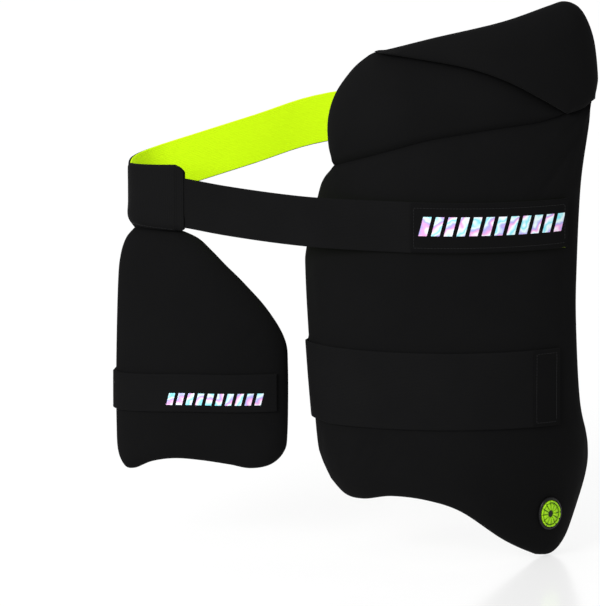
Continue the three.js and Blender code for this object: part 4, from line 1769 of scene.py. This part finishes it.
@dataclass
class Badge:
    """Round rubber badge low on the outer guard: a cupped base and a raised sunburst.

    ray_reach and ring_reach are shares of the sunburst's radius, and ray_gap is the share of a
    ray's sweep that stays free at either side of it.
    """

    side_inset: float = 47.0
    tip_rise: float = 48.6
    diameter: float = 34.0
    base_sides: int = 72
    emblem_diameter: float = 28.0
    emblem_floor: float = 2.45
    emblem_rim: float = 2.6
    emblem_rise: float = 1.5
    emblem_flattest: float = 0.02
    emblem_stations: tuple[int, int] = (6, 7)
    rays: int = 12
    ray_reach: tuple[float, float] = (0.26, 0.8)
    ring_reach: tuple[float, float] = (0.86, 1.0)
    ray_gap: float = 0.09
    narrowing: float = 0.85

    def centre(self, guard: OuterGuard) -> tuple[float, float]:
        """Place of the badge's middle on the guard, across and up."""
        tip = float(guard.main.outline.points[:, 1].min())
        return guard.half_width - self.side_inset, tip + self.tip_rise

    def disc(self, guard: OuterGuard, radii: Array, turns: Array, lift: Array) -> Array:
        """Points over the guard, by radius and turn round the badge's middle.

        Args:
            guard: the guard that carries the badge.
            radii: distances from the middle.
            turns: angles.
            lift: distances off the guard's front.

        Returns:
            The points.
        """
        x, z = self.centre(guard)
        slope = guard.main.front_at(np.array([x + 1, x - 1]), np.array([z, z]))
        facing = 2 / float(np.linalg.norm(slope[0] - slope[1]))
        across = x + radii * facing * self.narrowing * np.cos(turns)
        return guard.main.front_at(across, z + radii * np.sin(turns), lift)

    def base(self, guard: OuterGuard) -> Skin:
        """The cupped base, with a bead round its edge.

        Args:
            guard: the guard that carries it.

        Returns:
            Its skin.
        """
        edge = self.diameter / 2
        turns = np.linspace(0, 2 * math.pi, self.base_sides, endpoint=False)
        radii, angles = np.meshgrid([share * edge for share, _ in BADGE_PROFILE], turns, indexing="ij")
        lift = np.broadcast_to(np.array([height for _, height in BADGE_PROFILE])[:, None], radii.shape)
        points = self.disc(guard, radii, angles, lift).reshape(-1, 3)
        faces = tube_faces(0, len(BADGE_PROFILE), self.base_sides)
        cloth = np.stack([radii * np.cos(angles), radii * np.sin(angles)], axis=-1).reshape(-1, 2)
        return Skin(points, faces, cloth)

    def emblem(self, guard: OuterGuard) -> Skin:
        """The sunburst: raised rays inside a ring.

        Args:
            guard: the guard that carries it.

        Returns:
            Its skin.
        """
        edge = self.emblem_diameter / 2
        parts = []
        sweep = 2 * math.pi / self.rays
        lumps = [(self.ray_reach, number, self.ray_gap) for number in range(self.rays)]
        lumps += [(self.ring_reach, number, 0.0) for number in range(self.rays)]
        radial, turning = self.emblem_stations
        across = np.linspace(-1, 1, radial)[:, None]
        along = np.linspace(-1, 1, turning)[None]
        crown = np.sqrt(np.clip((1 - across**4) * (1 - along**4), self.emblem_flattest, 1))
        for reach, number, gap in lumps:
            turns = np.linspace((number + gap) * sweep, (number + 1 - gap) * sweep, turning)
            radii, angles = np.meshgrid(np.linspace(*reach, radial) * edge, turns, indexing="ij")
            floor = self.disc(guard, radii, angles, np.full(radii.shape, self.emblem_floor))
            top = self.disc(guard, radii, angles, self.emblem_rim + self.emblem_rise * crown)
            outward = unit(top - floor)
            half = np.linalg.norm(top - floor, axis=-1) / 2
            cloth = np.stack([radii * np.cos(angles), radii * np.sin(angles)], axis=-1)
            parts.append(strip_skin((top + floor) / 2, outward, half, cloth))
        return Skin.joined(parts)

    def build(self, shop: Workshop, guard: OuterGuard) -> None:
        """Makes the badge.

        Args:
            shop: the workshop.
            guard: the guard that carries it.
        """
        base, emblem = self.base(guard), self.emblem(guard)
        shop.piece("badge_base", base, OUTER_FRAME, Finish.BADGE_BLACK, ("outer_badge_base",))
        shop.piece("badge_sunburst", emblem, OUTER_FRAME, Finish.BADGE_LIME, ("outer_badge_emblem",))


@dataclass
class WaistBelt:
    """The black belt with its lime lining and sewn end, closed over the front of the outer guard."""

    waist_width: float = 424.0
    waist_depth: float = 256.0
    waist_to_guard: float = 92.0
    width: float = 48.0
    thickness: float = 1.6
    lining_thickness: float = 1.2
    lining_margin: float = 0.2
    lining_shifts: tuple[float, float, float] = (-0.75, -0.3, 0.8)
    hem: float = 0.12
    wave: float = 0.12
    rise: float = 64.0
    end_inset: float = 33.0
    tab_length: float = 136.0
    tab_margin: float = 1.0
    tab_hem: float = 0.3
    tab_hem_at: float = 0.9
    seam_margin: float = 4.2
    seam_start: float = 4.0
    seam_end: float = 3.0
    return_inset: float = 2.0
    front_rows: int = 0

    @property
    def inner(self) -> float:
        """Distance of the belt's inner face from the reference sheet."""
        return self.lining_thickness + LAYER_GAP

    @property
    def outer(self) -> float:
        """Distance of the belt's outer face from the reference sheet."""
        return self.inner + self.thickness

    @property
    def tab_outer(self) -> float:
        """Distance of the tab's outer face from the reference sheet."""
        return self.outer + LAYER_GAP + TAB_THICKNESS

    def band(
        self, guard: OuterGuard, width: float, shifts: tuple[float, float, float] = (0, 0, 0)
    ) -> Band:
        """The belt's reference sheet at some width.

        Args:
            guard: the guard that it closes over.
            width: the width.
            shifts: how much higher than the belt it lies at its end on the guard's front, on the
                rest of the front, and at the back.

        Returns:
            The band.
        """
        reach = SIDES * width / 2
        end = guard.half_width - self.end_inset
        steps = even_steps(end, end - self.tab_length, BAND_STEP)
        self.front_rows = len(steps)
        across, heights = np.meshgrid(steps, reach, indexing="ij")
        heights += np.interp(np.arange(len(steps)), FRONT_SHIFT_ROWS, shifts[:2])[:, None]
        free_shifts = np.interp(np.arange(len(BELT_ROUTE)), FREE_SHIFT_ROWS, shifts[1:])
        on_front = guard.main.front_at(across, heights, BAND_GAP)
        free = np.stack(
            [
                np.stack(
                    [
                        np.full_like(reach, across * self.waist_width / 2 - self.waist_to_guard),
                        np.full_like(reach, (back + 1) * self.waist_depth / 2),
                        rise * self.rise + shift + reach,
                    ],
                    axis=-1,
                )
                for (across, back, rise), shift in zip(BELT_ROUTE, free_shifts)
            ]
        )
        seat = BELT_ROUTE[-1][2] * self.rise
        back = return_rows(guard.main, seat + shifts[2] + reach, self.return_inset, self.outer)
        return Band(np.concatenate([on_front, free, back]), SIDES, width)

    def build(self, shop: Workshop, guard: OuterGuard) -> Band:
        """Makes the belt, its lining, its sewn end with stitches, and the foil bars.

        Args:
            shop: the workshop.
            guard: the guard that it closes over.

        Returns:
            The belt's reference sheet.
        """
        belt = self.band(guard, self.width)
        last = len(belt.rows) - 1
        skin = Layer(self.inner, self.outer, 0, last, hem=self.hem, wave=self.wave).skin(belt)
        made = shop.piece("belt_elastic", skin, OUTER_FRAME, Finish.ELASTIC, ("waist_belt",))
        length = belt.length(0, last)
        self.width * MM

        narrow = self.band(guard, self.width - 2 * self.lining_margin, self.lining_shifts)
        skin = Layer(0, self.lining_thickness, 0, last, wave=self.wave).skin(narrow)
        made = shop.piece("belt_lime_lining", skin, OUTER_FRAME, Finish.LIME, ("waist_belt_lining",))
        narrow.width * MM

        tab = self.band(guard, self.width - 2 * self.tab_margin)
        tab_end = self.front_rows - 1
        inner = self.outer + LAYER_GAP
        layer = Layer(inner, self.tab_outer, 0, tab_end, hem=self.tab_hem, hem_at=self.tab_hem_at)
        made = shop.piece("belt_end_tab", layer.skin(tab), OUTER_FRAME, Finish.TAB_KNIT, ("belt_tab",))
        tab_length = tab.length(0, tab_end)
        tab.width * MM

        edge = tab.width / 2 - self.seam_margin
        seam_end = tab_length - self.seam_end
        stitches = Stitching().box(tab, self.seam_start, seam_end, edge, self.tab_outer)
        shop.piece("belt_tab_stitches", stitches, OUTER_FRAME, Finish.THREAD)
        bars = FoilBars(start=8.5, count=12, width=7.8, gap=3.9, low=-7.2, high=10.8)
        shop.piece("belt_foil_bars", bars.skin(tab, self.tab_outer), OUTER_FRAME, Finish.FOIL)
        return belt


@dataclass
class LegStrap:
    """Elastic that goes round a leg, from a guard's front to its inner face.

    lift is how much higher than its left half the strap's front lies at its right end.
    """

    name: str
    node: str
    width: float
    drop: float
    thickness: float
    end_inset: float
    loop_depth: float
    loop_inset: float
    loop_outset: float = 1.0
    turn_start: float = 24.0
    standoff: float = 22.0
    lead: float = 5.0
    lift: float = 0.0
    hem: float = 0.14
    wave: float = 0.1
    band: Band | None = None

    def shape(self, padding: Padding) -> Band:
        """The strap's reference sheet.

        Args:
            padding: the padding of the guard that it holds.

        Returns:
            The band.
        """
        heights = -self.drop + SIDES * self.width / 2
        lefts = np.array([padding.outline.edge_across(height, -1) for height in heights])
        left = padding.outline.edge_across(-self.drop, -1)
        right = padding.outline.edge_across(-self.drop, 1)
        steps = even_steps(right - self.end_inset, left + self.turn_start, BAND_STEP)
        across, tall = np.meshgrid(steps, heights, indexing="ij")
        tall += self.lift * smoothstep(across, left, (left + right) / 2)
        on_front = padding.front_at(across, tall, BAND_GAP)

        normal = padding.shell.normal(np.array(left), np.array(-self.drop))
        inwards = unit(np.array([-normal[1], normal[0], 0]))
        edges = padding.shell.point(lefts, heights)
        turn = []
        for inset, lift in STRAP_TURN:
            row = edges + inwards * inset + normal * (lift * padding.front.thickness + LAYER_GAP)
            turn.append(np.stack([row[:, 0], row[:, 1], heights], axis=-1))

        start = float(padding.shell.depth(np.array(left), np.array(-self.drop))) + self.standoff
        loop_left, loop_right = lefts - self.loop_outset, right - self.loop_inset
        loop = []
        for degrees in LOOP_TURNS:
            angle = math.radians(degrees)
            x = (loop_left + loop_right) / 2 - (loop_right - loop_left) / 2 * math.cos(angle)
            y = np.full_like(x, start + self.loop_depth * math.sin(angle))
            loop.append(np.stack([x, y, heights], axis=-1))
        back = return_rows(padding, heights, self.loop_inset - self.lead, self.thickness)
        return Band(np.concatenate([on_front, turn, loop, back]), SIDES, self.width)

    def build(self, shop: Workshop, padding: Padding, where: Frame, rests_on: str) -> None:
        """Makes the strap.

        Args:
            shop: the workshop.
            padding: the padding of the guard that it holds.
            where: the guard's frame.
            rests_on: the guard's cover; not used.
        """
        self.band = self.shape(padding)
        last = len(self.band.rows) - 1
        skin = Layer(0, self.thickness, 0, last, hem=self.hem, wave=self.wave).skin(self.band)
        made = shop.piece(self.name, skin, where, Finish.ELASTIC, (self.node,))
        flat = (self.width * MM, self.band.length(0, last) * MM)


@dataclass
class OuterStrapEnd:
    """The sewn end of the outer guard's leg strap."""

    length: float = 28.0
    thickness: float = 0.6
    margin: float = 0.75
    gap: float = 0.1
    hem: float = 0.15
    seam_margin: float = 3.6
    seam_start: float = 4.0
    seam_end: float = 3.0

    def build(self, shop: Workshop, strap: LegStrap) -> None:
        """Makes the end tab and its stitches.

        Args:
            shop: the workshop.
            strap: the strap that it ends.
        """
        sides = strap.band.sides[1:-1] / strap.band.sides[-2]
        band = Band(strap.band.rows[:, 1:-1], sides, strap.width - 2 * self.margin)
        end = band.place_of(0, self.length)
        inner = strap.thickness + self.gap
        outer = inner + self.thickness
        skin = Layer(inner, outer, 0, end, per_row=8, hem=self.hem).skin(band)
        made = shop.piece("outer_strap_end_tab", skin, OUTER_FRAME, Finish.TAB_KNIT, ("outer_strap_tab",))
        flat = (band.width * MM, self.length * MM)
        edge = band.width / 2 - self.seam_margin
        stitches = Stitching().box(band, self.seam_start, self.length - self.seam_end, edge, outer)
        shop.piece("outer_strap_stitches", stitches, OUTER_FRAME, Finish.THREAD)


@dataclass
class InnerGuard:
    """The small guard for the back leg.

    pressed holds the heights that the strap and the hanger's foot cover.
    """

    half_width: float = 82.0
    height: float = 234.0
    top_drop: float = 18.0
    thickness: float = 11.0
    backing: float = 4.0
    front_round: float = 22.0
    back_round: float = 5.0
    front_lip: float = 2.0
    back_lip: float = 1.0
    insets: tuple[float, ...] = (0, 0.15, 0.45, 0.95, 1.7, 2.8, 4.4, 6.6, 9.6)
    field_step: float = 3.2
    pressed: tuple[tuple[float, float], ...] = ((-196, -158), (-24, 0))
    pad: Padding = field(init=False)

    def __post_init__(self) -> None:
        """Works out the padding."""
        shell = Shell(
            seam_depth=self.thickness, curl_depth=60.0, curl_half_width=self.half_width + 32.0,
            bow_radius=2500.0, bow_centre=-self.top_drop - self.height / 2,
        )
        scale = np.array([self.half_width, -self.height])
        drop = np.array([0, -self.top_drop])
        stretches = [(INNER_TOP, Rim.HANGER_SEAM), (INNER_RIM, Rim.FREE)]
        placed = [(np.array(corners) * scale + drop, rim) for corners, rim in stretches]
        front = Face(self.thickness, self.front_round, self.front_lip)
        back = Face(self.backing, self.back_round, self.back_lip)
        self.pad = Padding(shell, Outline.sewn(placed, RIM_STEP), front, back)

    def build(self, shop: Workshop) -> None:
        """Makes the padded cover.

        Args:
            shop: the workshop.
        """
        skin = PanelCut(self.insets, self.field_step).panel(self.pad)
        cover = shop.piece("inner_pad_cover", skin, INNER_FRAME, Finish.KNIT, ("inner_pad",))
        Stuffing(self.pressed).swell(cover, skin.clear)


@dataclass
class Hanger:
    """Wide elastic folded over the belt, with both legs sewn to the inner guard's top edge.

    first_row and last_row say where on the belt's free stretch it lies, in rows. Near its first
    edge a strip of under_width is thinner by under_drop, and the fold's corner drops. Its far edge
    mirrors the near edge's first far_stations. At either edge thinnest of the thickness is left.
    """

    thickness: float = 1.6
    rise: float = 9.0
    far_rise: float = 0.5
    first_row: float = 2.95
    last_row: float = 5.8
    width: float = 54.0
    under_width: float = 4.6
    under_drop: float = 0.45
    under_blend: float = 0.3
    corner_drop: float = 5.0
    foot_sink: float = 0.6
    far_station: float = 8.5
    far_margin: float = 1.6
    far_stations: int = 3
    middle_stations: int = 17
    thinnest: float = 0.3
    rows: int = 91
    seam_row: int = 4
    width_row: int = 20
    length_column: int = 10

    def column(
        self, point: Array, outward: Array, foot: Array, footward: Array, belt: WaistBelt, rise: float
    ) -> tuple[Array, Array]:
        """One line of the hanger, up its front leg, over the belt and down its back leg.

        Args:
            point: the belt's middle there.
            outward: the belt's outward direction.
            foot: the inner guard's top edge there.
            footward: its outward direction.
            belt: the belt.
            rise: how high the fold stands over the belt's edge there.

        Returns:
            The line's points and outward directions.
        """
        half = self.thickness / 2
        front_out = belt.outer + LAYER_GAP + half
        back_out = -LAYER_GAP - half
        low = point[2] - belt.width / 2 - LAYER_GAP
        high = point[2] + belt.width / 2 + rise

        def leg(out: float, sign: int) -> tuple[list, list]:
            """Makes one leg, from its foot upwards.

            Args:
                out: how far out from the belt's reference sheet it lies.
                sign: 1 for the front leg, -1 for the back one.

            Returns:
                Its points and outward directions.
            """
            feet = foot + footward * sign * (half + LAYER_GAP) - np.array([0, 0, self.foot_sink])
            heights = [low + (high - low) * share for share in LEG_SHARES]
            upper = [np.array([*point[:2], height]) + outward * out for height in heights]
            return [feet, *upper], [footward * sign] + [outward * sign] * len(upper)

        points, normals = leg(front_out, 1)
        back, back_normals = leg(back_out, -1)
        reach, middle = (front_out - back_out) / 2, (front_out + back_out) / 2
        for degrees in FOLD_TURNS:
            angle = math.radians(degrees)
            normal = outward * math.cos(angle) + np.array([0, 0, math.sin(angle)])
            points.append(np.array([*point[:2], high]) + outward * middle + normal * reach)
            normals.append(normal)
        points += back[::-1]
        normals += back_normals[::-1]
        return np.array(points), np.array(normals)

    def build(self, shop: Workshop, belt: WaistBelt, sheet: Band, guard: InnerGuard) -> None:
        """Makes the hanger and the stitches at its foot.

        Args:
            shop: the workshop.
            belt: the belt that carries it.
            sheet: the belt's reference sheet.
            guard: the inner guard that it carries.
        """
        near = np.array(HANGER_STATIONS)
        between = np.linspace(self.far_station, self.width - self.far_margin, self.middle_stations)
        marks = np.concatenate([near, between, self.width - near[: self.far_stations][::-1]])
        shares = marks / self.width
        places = belt.front_rows + self.first_row + (self.last_row - self.first_row) * shares
        rises = self.rise + (self.far_rise - self.rise) * shares
        rises -= self.corner_drop * np.maximum(1 - marks / self.under_width, 0) ** 2
        points, outward = sheet.sheet(places)
        middle = len(sheet.sides) // 2
        across = (INNER_TOP[0][0] + (INNER_TOP[-1][0] - INNER_TOP[0][0]) * shares) * guard.half_width
        z = np.full_like(across, -guard.top_drop)
        inner = Frame(INNER_FRAME.origin, INNER_FRAME.yaw)
        feet = inner.place(guard.pad.shell.point(across, z))
        steps = inner.place(guard.pad.shell.point(across, z, 1.0)) - feet
        footward = unit(steps * np.array([1, 1, 0]))
        stations = zip(points[:, middle], outward[:, middle], feet, footward, rises)
        columns = [
            self.column(point, out, foot, foot_out, belt, rise)
            for point, out, foot, foot_out, rise in stations
        ]
        lines = np.stack([column[0] for column in columns], axis=1)
        normals = np.stack([column[1] for column in columns], axis=1)
        fine = np.linspace(0, len(lines) - 1, self.rows)
        sheet_points = row_curves(lines, fine)[0]
        sheet_normals = unit(row_curves(normals, fine)[0])
        run = run_along(sheet_points[:, self.length_column])
        edge = np.minimum(np.minimum(marks, self.width - marks) / self.thickness * 2, 1)
        under_edges = (self.under_width - self.under_blend, self.under_width + self.under_blend)
        under = self.under_drop * (1 - smoothstep(marks, *under_edges))
        rounded = np.maximum(np.sqrt(1 - (1 - edge) ** 2), self.thinnest)
        half = (self.thickness / 2 - under) * rounded
        sheet_points = sheet_points - sheet_normals * under[None, :, None]
        half = np.broadcast_to(half[None], sheet_points.shape[:2])
        cloth = np.stack(np.broadcast_arrays(run[:, None], marks[None]), axis=-1)
        skin = strip_skin(sheet_points, sheet_normals, half, cloth)
        made = shop.piece("hanger_elastic", skin, OUTER_FRAME, Finish.ELASTIC, ("inner_hanger",))
        seam = (self.seam_row, slice(len(near) - 1, -self.far_stations))
        line, out = sheet_points[seam], sheet_normals[seam]
        stitches = Stitching().row(line + out * self.thickness / 2, out)
        shop.piece("hanger_stitches", stitches, OUTER_FRAME, Finish.THREAD)


# Studio


@dataclass(frozen=True)
class SoftLight:
    """A square soft light: where it hangs, its width, and its power in watts."""

    name: str
    place: tuple[float, float, float]
    size: float
    power: float


@dataclass
class Studio:
    """Pale floor, soft lights and the camera."""

    key: SoftLight = SoftLight("key", (-2.15, -2.8, 1.5), size=1.8, power=128.0)
    top: SoftLight = SoftLight("top", (-0.2, 0.4, 2.6), size=2.0, power=8.0)
    floor_height: float = -0.3348
    floor_size: float = 60.0
    floor_sides: int = 96
    target: tuple[float, float, float] = (-0.049, -0.1427, -0.069)
    camera_elevation: float = 12.0
    camera_distance: float = 5.868
    camera_lens: float = 370.85
    camera_sensor: float = 36.0
    camera_reach: float = 100.0
    world_strength: float = 0.6

    def build(self) -> None:
        """Makes the floor, the world, the lights and the camera."""
        self.camera()
        self.floor()
        self.world()
        for soft in (self.key, self.top):
            self.light(soft)

    def camera(self) -> None:
        """Makes the camera at the photograph's angle."""
        data = bpy.data.cameras.new("camera")
        data.lens = self.camera_lens
        data.sensor_width = self.camera_sensor
        data.clip_end = self.camera_reach
        made = bpy.data.objects.new("camera", data)
        elevation = math.radians(self.camera_elevation)
        back = Vector((0, -math.cos(elevation), math.sin(elevation)))
        made.location = Vector(self.target) + back * self.camera_distance
        made.rotation_euler = (math.pi / 2 - elevation, 0, 0)
        bpy.context.scene.collection.objects.link(made)
        bpy.context.scene.camera = made

    def floor(self) -> None:
        """Makes the floor, a wide disc of many sides."""
        mesh = bpy.data.meshes.new("floor")
        sides = self.floor_sides
        turns = np.linspace(0, 2 * math.pi, sides, endpoint=False)
        reach = self.floor_size / 2
        rim = [(reach * math.cos(turn), reach * math.sin(turn), self.floor_height) for turn in turns]
        faces = [(place, (place + 1) % sides, sides) for place in range(sides)]
        mesh.from_pydata([*rim, (0, 0, self.floor_height)], [], faces)
        mesh.materials.append(Ground().material("floor"))
        made = bpy.data.objects.new("floor", mesh)
        bpy.context.scene.collection.objects.link(made)
        made.visible_diffuse = False

    def world(self) -> None:
        """Makes the pale surroundings."""
        world = bpy.data.worlds.new("studio")
        world.use_nodes = True
        background = world.node_tree.nodes["Background"]
        background.inputs["Color"].default_value = (1.0, 1.0, 1.0, 1.0)
        background.inputs["Strength"].default_value = self.world_strength
        bpy.context.scene.world = world
        bpy.context.scene.view_settings.view_transform = "Standard"

    def light(self, soft: SoftLight) -> None:
        """Makes one soft light that faces the set.

        Args:
            soft: the light.
        """
        data = bpy.data.lights.new(soft.name, "AREA")
        data.shape = "SQUARE"
        data.size = soft.size
        data.energy = soft.power
        made = bpy.data.objects.new(soft.name, data)
        made.location = soft.place
        facing = Vector(self.target) - Vector(soft.place)
        made.rotation_euler = facing.to_track_quat("-Z", "Y").to_euler()
        bpy.context.scene.collection.objects.link(made)


def main() -> None:
    """Builds the whole set, in order."""
    logging.basicConfig(level=logging.INFO, format="%(name)s %(message)s")
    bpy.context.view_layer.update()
    Studio().build()
    shop = Workshop()
    guard = OuterGuard()
    guard.build(shop)
    Badge().build(shop, guard)
    belt = WaistBelt()
    sheet = belt.build(shop, guard)
    outer_strap = LegStrap(
        "outer_strap_elastic", "outer_strap", width=75.0, drop=158.0, thickness=2.0,
        end_inset=25.0, loop_depth=118.0, loop_inset=8.0,
    )
    outer_strap.build(shop, guard.main, OUTER_FRAME, "main_pad_cover")
    OuterStrapEnd().build(shop, outer_strap)
    inner = InnerGuard()
    inner.build(shop)
    inner_strap = LegStrap(
        "inner_strap_elastic", "inner_strap", width=37.0, drop=177.0, thickness=1.8,
        end_inset=12.5, loop_depth=92.0, loop_inset=19.0, lift=4.0,
    )
    inner_strap.build(shop, inner.pad, INNER_FRAME, "inner_pad_cover")
    bars = FoilBars(start=16.0, count=10, width=6.0, gap=3.4, low=-11.5, high=0.0)
    foil = bars.skin(inner_strap.band, inner_strap.thickness)
    shop.piece("inner_foil_bars", foil, INNER_FRAME, Finish.FOIL)
    Hanger().build(shop, belt, sheet, inner)
    log.info("%d pieces", len(shop.made))
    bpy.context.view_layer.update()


if __name__ == "__main__":
    main()
